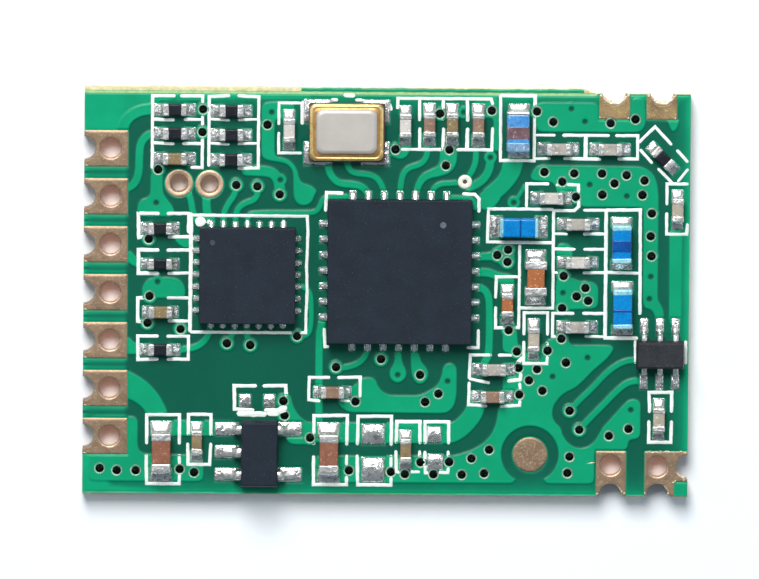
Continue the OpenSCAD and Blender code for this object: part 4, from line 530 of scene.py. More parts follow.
def mask_material():
    m, nt, bs, vec = tree("mat_solder_mask")
    at = nt.nodes.new("ShaderNodeVertexColor")
    at.layer_name = "paint"
    sep = nt.nodes.new("ShaderNodeSeparateColor")
    nt.links.new(at.outputs["Color"], sep.inputs["Color"])
    R, G, B = sep.outputs
    cloud = tex(nt, vec, 0.5, 3.0)
    fine = tex(nt, vec, 6.0, 3.0)
    # bare mask: the G paint runs it from dark to bright green; the bright end is painted light near the board edges
    # and corners
    bare = ramp(nt, G, [(0.0, srgb(4, 84, 66)), (0.3, srgb(4, 98, 76)), (0.7, srgb(3, 132, 96)), (1.0, srgb(5, 172, 122))])
    bare = mix(nt, spread(nt, cloud, 0.0, 0.3), bare, srgb(3, 72, 60))
    cu = ramp(nt, cloud, [(0.3, srgb(3, 150, 106)), (0.7, srgb(6, 162, 116))])
    cu = mix(nt, spread(nt, fine, 0.0, 0.16), cu, srgb(3, 136, 98))
    col = mix(nt, R, bare, cu)
    # B paint: a pale line just inside each copper edge, from thin mask over the copper corner and partly painted
    # highlight; a dark line at the foot, from thicker mask pooled along copper, and painted shade beside the mask
    # openings
    edge = ramp(nt, B, [(0.0, (0, 0, 0, 1)), (0.5, (0, 0, 0, 1)), (1.0, (1, 1, 1, 1))])
    foot = ramp(nt, B, [(0.0, (1, 1, 1, 1)), (0.5, (0, 0, 0, 1))])
    col = mix(nt, math_node(nt, "MULTIPLY", foot, 0.3), col, srgb(2, 52, 42))
    col = mix(nt, math_node(nt, "MULTIPLY", edge, 0.42), col, srgb(110, 206, 164))
    nt.links.new(col, bs.inputs["Base Color"])
    nt.links.new(spread(nt, fine, 0.34, 0.46), bs.inputs["Roughness"])
    bs.inputs["Specular IOR Level"].default_value = 0.16
    bs.inputs["Coat Weight"].default_value = 0.04
    bs.inputs["Coat Roughness"].default_value = 0.16
    bump(nt, bs, tex(nt, vec, 4.0, 2.0), 0.18, 0.02)
    return m


def copper_material(name, c1, c2, c3):
    m, nt, bs, vec = tree(name)
    a = tex(nt, vec, 1.6, 3.0)
    b = tex(nt, vec, 14.0, 4.0)
    col = ramp(nt, a, [(0.25, c1), (0.75, c2)])
    col = mix(nt, ramp(nt, b, [(0.55, (0, 0, 0, 1)), (0.72, (0.7, 0.7, 0.7, 1))]), col, c3)
    nt.links.new(col, bs.inputs["Base Color"])
    bs.inputs["Metallic"].default_value = 0.6
    nt.links.new(spread(nt, b, 0.34, 0.56), bs.inputs["Roughness"])
    bump(nt, bs, b, 0.35, 0.02)
    return m


def solder_material(name="mat_solder", lo=0.14, hi=0.34, c1=srgb(214, 212, 208), c2=srgb(244, 244, 243), c3=srgb(128, 122, 116), wave=0.38):
    m, nt, bs, vec = tree(name)
    a = tex(nt, vec, 3.2, 2.0)
    b = tex(nt, vec, 6.5, 3.0)
    col = ramp(nt, a, [(0.35, c1), (0.65, c2)])
    col = mix(nt, ramp(nt, b, [(0.52, (0, 0, 0, 1)), (0.66, (0.75, 0.75, 0.75, 1))]), col, c3)
    nt.links.new(col, bs.inputs["Base Color"])
    bs.inputs["Metallic"].default_value = 0.85
    nt.links.new(spread(nt, b, lo, hi), bs.inputs["Roughness"])
    bump(nt, bs, math_node(nt, "ADD", math_node(nt, "MULTIPLY", a, 1.5), b), wave, 0.08)
    return m


MASK = mask_material()
PLATE = copper_material("mat_plated_copper", srgb(136, 111, 90), srgb(168, 142, 115), srgb(206, 182, 152))
SAND = copper_material("mat_sandy_plating", srgb(126, 104, 84), srgb(186, 158, 110), srgb(222, 196, 142))
BARREL = copper_material("mat_barrel", srgb(220, 168, 134), srgb(238, 196, 166), srgb(250, 224, 202))
RING = copper_material("mat_ring_plating", srgb(196, 162, 134), srgb(226, 194, 164), srgb(250, 232, 206))
COPPER = copper_material("mat_copper", srgb(190, 120, 90), srgb(210, 140, 106), srgb(228, 170, 140))
SOLDER = solder_material()
TIN = solder_material("mat_tin", 0.26, 0.45, c3=srgb(176, 170, 162), wave=0.3)
# paler solder for the chip pins, its lightness partly painted highlight
PINS_M = solder_material("mat_pin_solder", 0.2, 0.36, srgb(232, 232, 230), srgb(250, 250, 250), srgb(206, 204, 200), 0.07)
# lighter copy of the solder for the joints and pins that face the key lamp (+y): painted highlight
SOLDER_PAINTED_LIT = solder_material("mat_solder_painted_lit", 0.2, 0.4, srgb(226, 224, 220), srgb(248, 247, 245), srgb(196, 192, 186), 0.12)
BRAZE = plain("mat_braze", srgb(168, 126, 70), srgb(206, 164, 104), 4.0, (0.3, 0.46), 0.7, (14, 0.4, 0.012))
INKM = plain("mat_legend_ink", srgb(228, 240, 234), srgb(250, 253, 250), 8.0, (0.45, 0.6), 0, (20, 0.3, 0.01))
GROOVE = plain("mat_scored_laminate", srgb(128, 182, 116), srgb(170, 208, 148), 5.0, (0.5, 0.7), 0, (16, 0.5, 0.02), detail=4.0)
LAM = plain("mat_laminate", srgb(200, 190, 140), srgb(232, 222, 182), 5.0, (0.55, 0.8), 0, (18, 0.6, 0.03), detail=5.0)
IC = plain("mat_mould_compound", srgb(14, 26, 38), srgb(22, 35, 50), 1.0, (0.5, 0.66), 0, (30, 0.4, 0.012), speck=(srgb(58, 68, 84), 17.0, 0.66), spec=0.3)
IC2 = plain("mat_mould_compound_small", srgb(28, 31, 36), srgb(42, 45, 52), 1.6, (0.5, 0.66), 0, (24, 0.5, 0.014), speck=(srgb(76, 80, 88), 14.0, 0.64), spec=0.35)
RES = plain("mat_resistor_coat", srgb(12, 16, 24), srgb(24, 28, 38), 3.0, (0.3, 0.45), 0, (14, 0.3, 0.012), speck=(srgb(60, 72, 96), 12.0, 0.66), spec=0.35)
BLUE = plain("mat_blue_glaze", srgb(0, 116, 190), srgb(0, 136, 208), 2.5, (0.2, 0.35), 0, (10, 0.3, 0.02), coat=0.12, speck=(srgb(40, 170, 230), 7.0, 0.7), spec=0.3)
TEAL = plain("mat_blue_glaze_band", srgb(0, 60, 130), srgb(6, 84, 164), 3.0, (0.25, 0.4), 0, (10, 0.3, 0.02), coat=0.1, spec=0.3)
HAZE = plain("mat_violet_band", srgb(96, 70, 76), srgb(128, 98, 104), 3.0, (0.3, 0.45), 0, (10, 0.3, 0.02), coat=0.3, speck=(srgb(160, 150, 168), 6.0, 0.6))
PALEB = plain("mat_pale_blue_end", srgb(96, 138, 176), srgb(136, 172, 204), 4.0, (0.25, 0.42), 0.15, (9, 0.5, 0.03), speck=(srgb(190, 210, 226), 7.0, 0.6))
CYAN = plain("mat_pale_end", srgb(120, 204, 224), srgb(190, 234, 244), 4.0, (0.22, 0.4), 0.2, (9, 0.5, 0.03), speck=(srgb(90, 180, 220), 7.0, 0.6))
TAN = plain("mat_tan_ceramic", srgb(116, 100, 66), srgb(146, 126, 90), 2.5, (0.45, 0.6), 0, (12, 0.4, 0.014), speck=(srgb(190, 176, 146), 10.0, 0.62))
REDB = plain("mat_red_brown_ceramic", srgb(124, 76, 54), srgb(144, 92, 68), 2.5, (0.42, 0.6), 0, (12, 0.4, 0.014), speck=(srgb(182, 130, 104), 10.0, 0.62))
BROWN = plain("mat_brown_ceramic", srgb(128, 98, 80), srgb(150, 120, 100), 2.5, (0.42, 0.6), 0, (12, 0.4, 0.014), speck=(srgb(188, 156, 134), 10.0, 0.62))
ORANGE = plain("mat_orange_ceramic", srgb(150, 84, 40), srgb(176, 106, 58), 2.5, (0.42, 0.6), 0, (12, 0.4, 0.014), speck=(srgb(222, 164, 106), 10.0, 0.62))
GREY = plain("mat_grey_ceramic", srgb(146, 141, 134), srgb(184, 178, 170), 2.5, (0.4, 0.55), 0, (12, 0.4, 0.014), speck=(srgb(228, 222, 216), 10.0, 0.62))
LGREY = plain("mat_pale_ceramic", srgb(186, 182, 175), srgb(212, 208, 202), 2.5, (0.4, 0.55), 0, (12, 0.4, 0.014), speck=(srgb(236, 232, 226), 10.0, 0.62))
BEIGE = plain("mat_beige_ceramic", srgb(158, 149, 134), srgb(186, 178, 162), 2.5, (0.4, 0.55), 0, (12, 0.4, 0.014), speck=(srgb(222, 212, 192), 10.0, 0.62))
BLUE2 = plain("mat_light_blue_glaze", srgb(48, 122, 196), srgb(92, 162, 220), 2.5, (0.2, 0.35), 0, (10, 0.3, 0.02), coat=0.5, speck=(srgb(120, 190, 236), 7.0, 0.62))
DARKC = plain("mat_dark_ceramic", srgb(62, 46, 40), srgb(86, 64, 54), 3.0, (0.5, 0.7), 0, (16, 0.4, 0.014))
# lighter plating for the ragged slivers and flecks; on the lower rims of the round holes it is painted highlight
RAGGED_PLATING_AND_RIM_HIGHLIGHT = copper_material("mat_ragged_plating_and_rim_highlight", srgb(206, 180, 148), srgb(234, 214, 186), srgb(252, 242, 224))
GOLD = copper_material("mat_gold", srgb(190, 150, 88), srgb(222, 184, 118), srgb(248, 228, 176))
SEAL = plain("mat_seal_gold", srgb(222, 180, 108), srgb(246, 214, 150), 3.0, (0.26, 0.4), 0.8, (6, 0.1, 0.01), speck=(srgb(252, 234, 190), 5.0, 0.62))
LID = plain("mat_lid_metal", srgb(186, 180, 174), srgb(200, 194, 188), 0.7, (0.42, 0.52), 0.35, (24, 0.3, 0.01), speck=(srgb(204, 198, 192), 15.0, 0.64))
DOT = plain("mat_pin_dot", srgb(84, 92, 104), srgb(108, 116, 128), 6.0, (0.25, 0.4), 0, (20, 0.3, 0.01))

CREAM = plain("mat_cream_plating", srgb(222, 218, 204), srgb(246, 244, 232), 5.0, (0.35, 0.5), 0.1, (12, 0.3, 0.01), speck=(srgb(252, 250, 240), 6.0, 0.6))
DOT2 = plain("mat_faint_dot", srgb(46, 54, 66), srgb(62, 70, 84), 6.0, (0.35, 0.5), 0, (20, 0.3, 0.01))

# ---------------------------------------------------------------- fields over the board face
H = 0.03
NX, NY = 841, 568
GX, GY = -12.6 + H * np.arange(NX), -8.5 + H * np.arange(NY)


def window(x0, x1, y0, y1, pad):
    i0, i1 = int(max((x0 - pad + 12.6) / H, 0)), int(min((x1 + pad + 12.6) / H + 2, NX))
    j0, j1 = int(max((y0 - pad + 8.5) / H, 0)), int(min((y1 + pad + 8.5) / H + 2, NY))
    return slice(j0, j1), slice(i0, i1)


def d_poly(P, X, Y):
    P = np.asarray(P, float)
    d = np.full(X.shape, 1e9)
    s = np.ones(X.shape)
    n = len(P)
    for i in range(n):
        a, b = P[i], P[i - 1]
        ex, ey = b[0] - a[0], b[1] - a[1]
        wx, wy = X - a[0], Y - a[1]
        t = np.clip((wx * ex + wy * ey) / max(ex * ex + ey * ey, 1e-12), 0, 1)
        d = np.minimum(d, (wx - ex * t) ** 2 + (wy - ey * t) ** 2)
        c1, c2, c3 = Y >= a[1], Y < b[1], ex * wy > ey * wx
        s[(c1 & c2 & c3) | (~c1 & ~c2 & ~c3)] *= -1
    return s * np.sqrt(d)


def d_line(P, w, X, Y):
    d = np.full(X.shape, 1e9)
    for a, b in zip(P[:-1], P[1:]):
        ex, ey = b[0] - a[0], b[1] - a[1]
        wx, wy = X - a[0], Y - a[1]
        t = np.clip((wx * ex + wy * ey) / max(ex * ex + ey * ey, 1e-12), 0, 1)
        d = np.minimum(d, (wx - ex * t) ** 2 + (wy - ey * t) ** 2)
    return np.sqrt(d) - w / 2


def d_rect(cx, cy, lx, ly, deg, r, X, Y):
    c, s = math.cos(math.radians(deg)), math.sin(math.radians(deg))
    x, y = np.abs((X - cx) * c + (Y - cy) * s) - lx / 2 + r, np.abs(-(X - cx) * s + (Y - cy) * c) - ly / 2 + r
    return np.hypot(np.maximum(x, 0), np.maximum(y, 0)) + np.minimum(np.maximum(x, y), 0) - r


def put(field, fn, box, pad=0.6, op=np.minimum):
    w = window(*box, pad)
    X, Y = np.meshgrid(GX[w[1]], GY[w[0]])
    field[w] = op(field[w], fn(X, Y))


def put_poly(field, P, op=np.minimum, sign=1):
    P = np.asarray(P)
    put(field, lambda X, Y: sign * d_poly(P, X, Y), (P[:, 0].min(), P[:, 0].max(), P[:, 1].min(), P[:, 1].max()), 0.6, op)


def put_circle(field, x, y, r, op=np.minimum, sign=1):
    put(field, lambda X, Y: sign * (np.hypot(X - x, Y - y) - r), (x - r, x + r, y - r, y + r), 0.6, op)


def put_rect(field, cx, cy, lx, ly, deg=0, r=0.04):
    m = max(lx, ly) / 2 * 1.45
    put(field, lambda X, Y: d_rect(cx, cy, lx, ly, deg, r, X, Y), (cx - m, cx + m, cy - m, cy + m))


LEFT_Y = [5.9 - 2 * i for i in range(7)]
# every soldered land: x, y, size along, size across, turn
LANDS = []
for c in RESISTORS + CAPACITORS + INDUCTORS:
    a = math.radians(c[2])
    for s in (-1, 1):
        off = s * (c[3] / 2 - 0.14 + (c[6] + 0.14) / 2)
        LANDS.append((c[0] + off * math.cos(a), c[1] + off * math.sin(a), c[6] + 0.14, c[7], c[2]))
for b in BARE:
    LANDS.append((b[0], b[1], b[2], b[3], 0))
U3, U3X = (11.4, -2.52), (-0.66, 0, 0.65)
U4, U4Y = (-5.24, -6.72), (0.95, 0, -0.95)
for x in U3X:
    for s in (-1, 1):
        LANDS.append((U3[0] + x, U3[1] + s * 1.14, 0.34, 0.66, 0))
for y in U4Y:
    LANDS.append((U4[0] - 1.35, U4[1] + y, 1.0, 0.54, 0))
for y in (U4Y[0], U4Y[2]):
    LANDS.append((U4[0] + 1.28, U4[1] + y, 1.0, 0.6, 0))
XC = (-1.7, 6.64)
XLANDS = [(XC[0] + s * 1.2, XC[1] + t * 0.88, 1.2, 0.98, 0) for s in (-1, 1) for t in (-1, 1)]
LANDS += XLANDS
PINS = []
for (ux, uy, pitch, w, half, toe, inn) in ((0.53, 0.87, 0.65, 0.28, 3.0, 0.34, 0.45), (-5.8, 0.67, 0.5, 0.24, 2.0, 0.22, 0.36)):
    for q in range(4):
        for i in range(-3, 4):
            a = math.radians(90 * q)
            dx, dy = half + (toe - inn) / 2, i * pitch
            PINS.append((ux + dx * math.cos(a) - dy * math.sin(a), uy + dx * math.sin(a) + dy * math.cos(a), toe + inn, w, 90 * q))
TEST, PTHS, POINT = (6.03, -6.76), ((-8.66, 4.47), (-7.39, 4.44)), (3.23, 4.6)
HOLES = [(-11.5, y) for y in LEFT_Y] + [(9.4, -7.2), (11.35, -7.25)]
NOTCH = [(-12.6, y) for y in LEFT_Y] + [(9.42, 8.33), (11.42, 8.33), (9.4, -8.45), (11.36, -8.45), (12.6, -7.26)]
# edge pads as boxes x0, x1, y0, y1
PADS = [(-13.4, -10.75 - (0.03 if i < 5 else 0), y - 0.75, y + 0.75) for i, y in enumerate(LEFT_Y)]
PADS += [(8.8, 10.07, 7.25, 9.2), (10.76, 12.02, 7.25, 9.2), (8.8, 10.04, -9.4, -6.6), (10.82, 13.4, -9.4, -6.6)]

D = np.ones((NY, NX))
for p in POURS:
    put_poly(D, round_poly(p))
for w, p in TRACES:
    q = chaikin(p, 3)
    A = np.array(q)
    put(D, lambda X, Y: d_line(q, w, X, Y), (A[:, 0].min(), A[:, 0].max(), A[:, 1].min(), A[:, 1].max()))
for l in LANDS + PINS:
    put_rect(D, *l, 0.03)
k = np.exp(-0.5 * (np.arange(-3, 4) * H / 0.032) ** 2)
k /= k.sum()
pad3 = np.pad(D, 3, mode="edge")
D = sum(k[i] * pad3[i:i + NY, :] for i in range(7))
D = sum(k[i] * D[:, i:i + NX] for i in range(7))
for v in VIAS:
    put_circle(D, v[0], v[1], 0.285)
for v in DIMPLES:
    put_circle(D, v[0], v[1], 0.24)
put_circle(D, TEST[0], TEST[1], 1.22, np.maximum, -1)
put_poly(D, round_poly([(3.8, 4.05), (3.86, 3.5), (4.3, 3.42), (4.75, 3.95), (4.6, 4.5), (4.25, 4.35)]))
put_poly(D, [(5.4, -8.2), (5.4, -7.3), (6.66, -7.3), (6.66, -8.2)], np.maximum, -1)
put_poly(D, [(-30, -8.0), (30, -8.0), (30, -20), (-30, -20)], np.maximum, -1)
for x0, x1, y0, y1 in PADS:
    put_rect(D, (x0 + x1) / 2, (y0 + y1) / 2, x1 - x0, y1 - y0, 0, 0.02)
put_circle(D, TEST[0], TEST[1], 0.73)
for n_ in PTHS:
    put_circle(D, n_[0], n_[1], 0.6)
put_circle(D, POINT[0], POINT[1], 0.29)

OP = np.ones((NY, NX))
for l in LANDS:
    put_rect(OP, l[0], l[1], l[2] + 0.1, l[3] + 0.1, l[4], 0.06)
for l in PINS:
    put_rect(OP, l[0], l[1], l[2] + 0.06, l[3] + 0.08, l[4], 0.04)
for x0, x1, y0, y1 in PADS:
    put_rect(OP, (x0 + x1) / 2, (y0 + y1) / 2, x1 - x0 + 0.1, y1 - y0 + 0.1, 0, 0.04)
put_circle(OP, TEST[0], TEST[1], 0.79)
for n_ in PTHS:
    put_circle(OP, n_[0], n_[1], 0.62)
put_circle(OP, POINT[0], POINT[1], 0.31)
# the lower right corner keeps a patch of mask
w_ = window(12.0, 12.6, -8.5, -7.8, 0.1)
X_, Y_ = np.meshgrid(GX[w_[1]], GY[w_[0]])
patch = d_rect(12.36, -8.2, 0.52, 0.62, 0, 0.03, X_, Y_)
OP[w_] = np.maximum(OP[w_], -patch)
D[w_] = np.maximum(D[w_], -patch)

VD = np.ones((NY, NX))
for v in VIAS:
    put_circle(VD, v[0], v[1], 0.0)
DM = np.ones((NY, NX))
for v in DIMPLES:
    put_circle(DM, v[0], v[1], 0.0)

XX, YY = np.meshgrid(GX, GY)
rim = np.minimum.reduce([XX + HL, HL - XX, YY + HW, 8.28 - YY])
TOPY = np.where(XX < 8.72, 8.222, 8.272)
for x, y in NOTCH:
    rim = np.minimum(rim, np.hypot(XX - x, YY - y) - 0.53 + 0.12)
# mask height: flat over copper, sagging over its edge, thin over bare laminate
up = 1 - step(-0.02, 0.085, D)
ZM = LAM1 + 0.022 + (ZTOP - LAM1 - 0.022) * up
ZM += 0.003 * np.exp(-((D + 0.035) / 0.03) ** 2)
ZM += 0.0022 * noise(XX * 0.9, YY * 0.9, 3) + 0.0012 * noise(XX * 2.7, YY * 2.7, 5)
ZM -= 0.02 * np.exp(-(DM / 0.11) ** 2)
ZM = LAM1 + (ZM - LAM1) * (0.25 + 0.75 * step(-0.02, 0.05, OP)) * step(-0.06, -0.02, OP)
ZM = LAM1 + (ZM - LAM1) * step(0.02, 0.08, np.minimum(np.minimum(XX + HL, HL - XX), np.minimum(YY + 8.44, TOPY - YY)))
ZM[w_] = np.where(patch < 0, LAM1 + (ZTOP - LAM1) * step(0.0, 0.05, -patch), ZM[w_])
# G paint, painted light: bare mask is painted brighter near the board edges (lit), over the top-left and lower-left
# corners (glow, corner) and in stripes between the left pads (stripe)
lit = np.exp(-np.maximum(rim, 0) / 0.55) * 0.95 + 0.12
R_ = 1 - step(-0.015, 0.05, D)
# B paint: high just inside each copper edge for the pale line (thin mask, partly painted highlight), low at the foot
# for the dark line (thicker mask pooled there)
B_ = 0.5 - 0.5 * np.exp(-((D - 0.085) / 0.04) ** 2) + 0.5 * np.exp(-((D + 0.012) / 0.028) ** 2)
# beside the mask openings over bare laminate B is pulled low too: painted shade set against the lit slope of the
# opening
B_ = np.minimum(B_, 0.5 - 0.42 * np.exp(-((OP - 0.01) / 0.035) ** 2) * (D > 0.03))
dark_dot = np.exp(-(DM / 0.125) ** 6)
R_ = R_ * (1 - dark_dot)
# a pale ragged line along the lower board edge: a mask edge burr, painted partly as highlight
B_ = np.maximum(B_, 0.5 + 0.5 * step(-8.395, -8.43, YY) * (0.7 + 0.5 * noise(XX * 2.2, YY, 15)))
B_ = B_ * (1 - dark_dot) + 0.0 * dark_dot
R_[w_] = np.where(patch < 0, 0.8, R_[w_])
B_[w_] = np.where(patch < 0, 0.5, B_[w_])
glow = np.ones((NY, NX))
put_poly(glow, [(-13, 9), (-13, 6.4), (-11.0, 6.4), (-11.0, 6.9), (-10.75, 7.25), (-10.3, 7.55), (-9.8, 7.7), (-9.4, 7.9), (-3.2, 8.0), (-3.0, 9)])
corner = np.ones((NY, NX))
put_poly(corner, [(-13, -5.6), (-12.3, -5.7), (-12.0, -6.3), (-11.8, -7.5), (-11.3, -8.0), (-9.4, -8.15), (-8.8, -9), (-13, -9)])
G_ = np.maximum(lit, 0.95 * (1 - step(-0.05, 0.1, glow)))
gap = np.abs((YY - LEFT_Y[6]) % 2.0 - 1.0)
stripe = (1 - step(-10.95, -10.6, XX)) * (1 - step(0.2, 0.3, gap)) * (YY > -6.0) * (YY < 6.0) * (0.42 + 0.36 * step(0.03, 0.11, gap))
G_ = np.maximum(G_ * (1 - 0.6 * (stripe > 0.3) * (gap < 0.05)), stripe)
G_ = np.clip(np.maximum(G_, 0.95 * (1 - step(-0.3, 0.25, corner))), 0, 1) * (1 - dark_dot)


def mask_height(x, y):
    fx, fy = np.clip((np.asarray(x, float) + 12.6) / H, 0, NX - 1.001), np.clip((np.asarray(y, float) + 8.5) / H, 0, NY - 1.001)
    i, j = fx.astype(int), fy.astype(int)
    u, v = fx - i, fy - j
    return (ZM[j, i] * (1 - u) + ZM[j, i + 1] * u) * (1 - v) + (ZM[j + 1, i] * (1 - u) + ZM[j + 1, i + 1] * u) * v


def field_at(Fd, x, y):
    i = np.clip(((np.asarray(x, float) + 12.6) / H + 0.5).astype(int), 0, NX - 1)
    j = np.clip(((np.asarray(y, float) + 8.5) / H + 0.5).astype(int), 0, NY - 1)
    return Fd[j, i]


# cells: fine ones along every copper edge, opening and hole, coarse ones elsewhere
act = ((D > -0.1) & (D < 0.16)) | ((OP > -0.1) & (OP < 0.09)) | (VD < 0.34) | (DM < 0.26) | (np.minimum(np.minimum(XX + HL, HL - XX), np.minimum(YY + 8.44, TOPY - YY)) < 0.12)
gone = (OP < -0.07) | (VD < 0.2) | (YY > TOPY + 0.001) | (YY < -8.441)
for x, y in NOTCH + HOLES:
    gone |= np.hypot(XX - x, YY - y) < 0.5
done = np.zeros((NY - 1, NX - 1), bool)
quads = []
ca = act[:-1, :-1] | act[1:, :-1] | act[:-1, 1:] | act[1:, 1:]
cg = gone[:-1, :-1] & gone[1:, :-1] & gone[:-1, 1:] & gone[1:, 1:]
cp = gone[:-1, :-1] | gone[1:, :-1] | gone[:-1, 1:] | gone[1:, 1:]
for b in (8, 4, 2, 1):
    for J in range(0, NY - 1 - b + 1, b):
        I = np.arange(0, NX - 1 - b + 1, b)
        blkA = np.zeros(len(I), bool)
        blkD = np.zeros(len(I), bool)
        blkG = np.ones(len(I), bool)
        blkP = np.zeros(len(I), bool)
        for dj in range(b):
            for di in range(b):
                blkA |= ca[J + dj, I + di]
                blkD |= done[J + dj, I + di]
                blkG &= cg[J + dj, I + di]
                blkP |= cp[J + dj, I + di]
        ok = ~blkD & ((~blkA & ~blkP) if b > 1 else ~blkG)
        for dj in range(b):
            for di in range(b):
                done[J + dj, (I + di)[ok]] = True
        i = I[ok]
        if len(i):
            quads.append(np.stack([J * NX + i, J * NX + i + b, (J + b) * NX + i + b, (J + b) * NX + i], 1))
Q = np.concatenate(quads)
xc = (Q[:, 0] % NX) * H - 12.6
bounds_x = np.quantile(xc, [0, 0.25, 0.5, 0.75, 1.0])
bounds_x[-1] += 1
for part in range(4):
    q = Q[(xc >= bounds_x[part]) & (xc < bounds_x[part + 1])]
    used = np.unique(q)
    remap = np.zeros(NX * NY, np.int64)
    remap[used] = np.arange(len(used))
    q = remap[q]
    me = bpy.data.meshes.new("mask_top_%d" % (part + 1))
    co = np.stack([XX.ravel()[used], YY.ravel()[used], ZM.ravel()[used]], 1) * 0.001
    me.vertices.add(len(used))
    me.vertices.foreach_set("co", co.astype(np.float32).ravel())
    me.loops.add(len(q) * 4)
    me.loops.foreach_set("vertex_index", q.astype(np.int32).ravel())
    me.polygons.add(len(q))
    me.polygons.foreach_set("loop_start", (np.arange(len(q)) * 4).astype(np.int32))
    me.update(calc_edges=True)
    me.polygons.foreach_set("use_smooth", [True] * len(q))
    colr = me.color_attributes.new("paint", "FLOAT_COLOR", "POINT")
    a = np.ones((len(used), 4), np.float32)
    a[:, 0], a[:, 1], a[:, 2] = R_.ravel()[used], G_.ravel()[used], B_.ravel()[used]
    colr.data.foreach_set("color", a.ravel())
    me.materials.append(MASK)
    ob = bpy.data.objects.new(me.name, me)
    bpy.context.scene.collection.objects.link(ob)
    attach(ob, "root")
    if part == 0:
        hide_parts("solder_mask_top")
    print(me.name, len(q) * 2, "triangles")

# ---------------------------------------------------------------- laminate with its snapped edge
def top_edge(x):
    return 8.485 - 0.03 * (0.5 + 0.5 * noise(x * 3.1, 0 * x, 21)) - 0.02 * np.abs(noise(x * 9, 0 * x, 22)) - step(8.15, 8.72, x) * 0.2


xs = np.arange(-12.6, 8.75, 0.12)
edge_line = [(float(x), float(top_edge(np.array([x]))[0])) for x in xs]
outline = [(-12.6, -8.5)] + [(float(x), -8.5 + 0.012 * abs(float(noise(x * 4, 0.3, 9)))) for x in np.arange(-12.3, 12.5, 0.3)] + [(12.6, -8.5), (12.6, 8.28), (8.75, 8.28)] + edge_line[::-1]
groove = [(False, [(float(x), y + 0.006 * float(noise(x * 5, y * 7, 4))) for x in np.arange(-12.6, 8.9, 0.14)]) for y in (8.24, 8.262, 8.29, 8.318, 8.335, 8.46)]
rimline = [(False, [(float(x), -8.43) for x in np.arange(-12.6, 12.61, 0.4)])]
cuts = [(x, y, 0.53) for x, y in NOTCH] + [(x, y, 0.48) for x, y in HOLES] + [(x, y, 0.4) for x, y in PTHS] + [(v[0], v[1], 0.172) for v in VIAS]
OUTL = np.array(outline)


def in_board(x, y):
    k_ = d_poly(OUTL, x, y) < 0
    for cx, cy, r in cuts:
        k_ &= np.hypot(x - cx, y - cy) > r * 0.985
    return k_


def lam_top(x, y):
    x, y = np.asarray(x, float), np.asarray(y, float)
    z = np.full(x.shape, LAM1)
    strip = (y > 8.24) & (x < 8.74)
    z = np.where(strip, LAM1 - 0.02 * np.clip(1 - np.abs(y - 8.29) / 0.05, 0, 1) - 0.006 * np.abs(noise(x * 7, y * 9, 31)), z)
    torn = (y > 8.34) & (x < -3.6)
    z = np.where(torn, LAM1 - 0.012 - 0.03 * np.abs(noise(x * 2.3, y * 3, 33)) - 0.014 * noise(x * 9, y * 20, 34), z)
    z = np.where((y > 8.463) & (x < 8.74), z - 0.012 - 0.03 * np.abs(noise(x * 5, y, 35)), z)
    return np.where(y < -8.46, LAM1 - 0.05, z)


V, F = region([(True, outline)] + groove + rimline + [(True, circle_pts(cx, cy, r, 20 if r < 0.3 else 36)) for cx, cy, r in cuts], in_board, lam_top, lambda x, y: np.full(x.shape, LAM0))
make("laminate", Acc().add(V, F), LAM, ["board_substrate"], 30)
# mask left on the outer strip, and the scored line between it and the board
def ribbon(name, xs_, rows, top, under, material, paint=None):
    """Long closed strip along x: rows(x) gives its y values, top(x, y) its height over each row."""
    V, F = [], []
    m = None
    for x in xs_:
        ys = rows(float(x))
        m = len(ys)
        zs = [float(top(float(x), y, j, m)) for j, y in enumerate(ys)]
        V += [(float(x), y, z) for y, z in zip(ys, zs)]
        V += [(float(x), y, under) for y in reversed(ys)]
    m *= 2
    for i in range(len(xs_) - 1):
        for k in range(m):
            l = (k + 1) % m
            F.append((i * m + l, i * m + k, (i + 1) * m + k, (i + 1) * m + l))
    F.append(tuple(range(m)))
    F.append(tuple((len(xs_) - 1) * m + k for k in reversed(range(m))))
    cols_ = (paint + paint[::-1]) * len(xs_) if paint else None
    make(name, Acc().add(V, F, cols_), material, (), 40, attr=paint is not None)


def edge_at(x):
    return float(top_edge(np.array([x]))[0])


# the strip's paint keeps G at full, painted light as on bare mask near the edges, and lifts B at its outer rows for a
# painted highlight along the broken edge
ribbon("mask_strip", np.arange(-3.6, 8.2, 0.08), lambda x: [8.332 + 0.008 * float(noise(x * 4, 1.0, 41)) + t * (edge_at(x) - 0.005 - 8.332) for t in (0, 0.1, 0.5, 0.84, 1)],
       lambda x, y, j, m: LAM1 + (0.004 if j in (0, m - 1) else 0.02 + 0.004 * float(noise(x * 3, y * 9, 40))), LAM1 - 0.02, MASK, [(0.0, 1.0, 0.5), (0.0, 0.9, 0.5), (0.0, 0.8, 0.5), (0.0, 1.0, 0.75), (0.0, 1.0, 1.0)])
ribbon("score_line", np.arange(-12.58, 8.7, 0.1), lambda x: [8.205, 8.235, 8.27, 8.305, 8.333], lambda x, y, j, m: float(lam_top(np.array([x]), np.array([y]))[0]) + (0.002 if j in (0, m - 1) else 0.006),
       LAM1 - 0.1, GROOVE)

V, F = [], []
xs_ = [x for x in xs if -3.5 < x < 8.1]
for x in xs_:
    ye = min(edge_at(float(x)), 8.49)
    zb = LAM1 - 0.13 - 0.05 * float(noise(float(x) * 1.7, 3.0, 44))
    V += [(float(x), ye - 0.012, LAM1 + 0.016), (float(x), ye + 0.003, LAM1 + 0.012), (float(x), min(ye + 0.009, 8.499), LAM1 - 0.03), (float(x), ye + 0.004, zb), (float(x), ye - 0.012, zb - 0.02)]
F = [(i * 5 + k, (i + 1) * 5 + k, (i + 1) * 5 + (k + 1) % 5, i * 5 + (k + 1) % 5) for i in range(len(xs_) - 1) for k in range(5)]
F += [tuple(range(5)), tuple((len(xs_) - 1) * 5 + k for k in reversed(range(5)))]
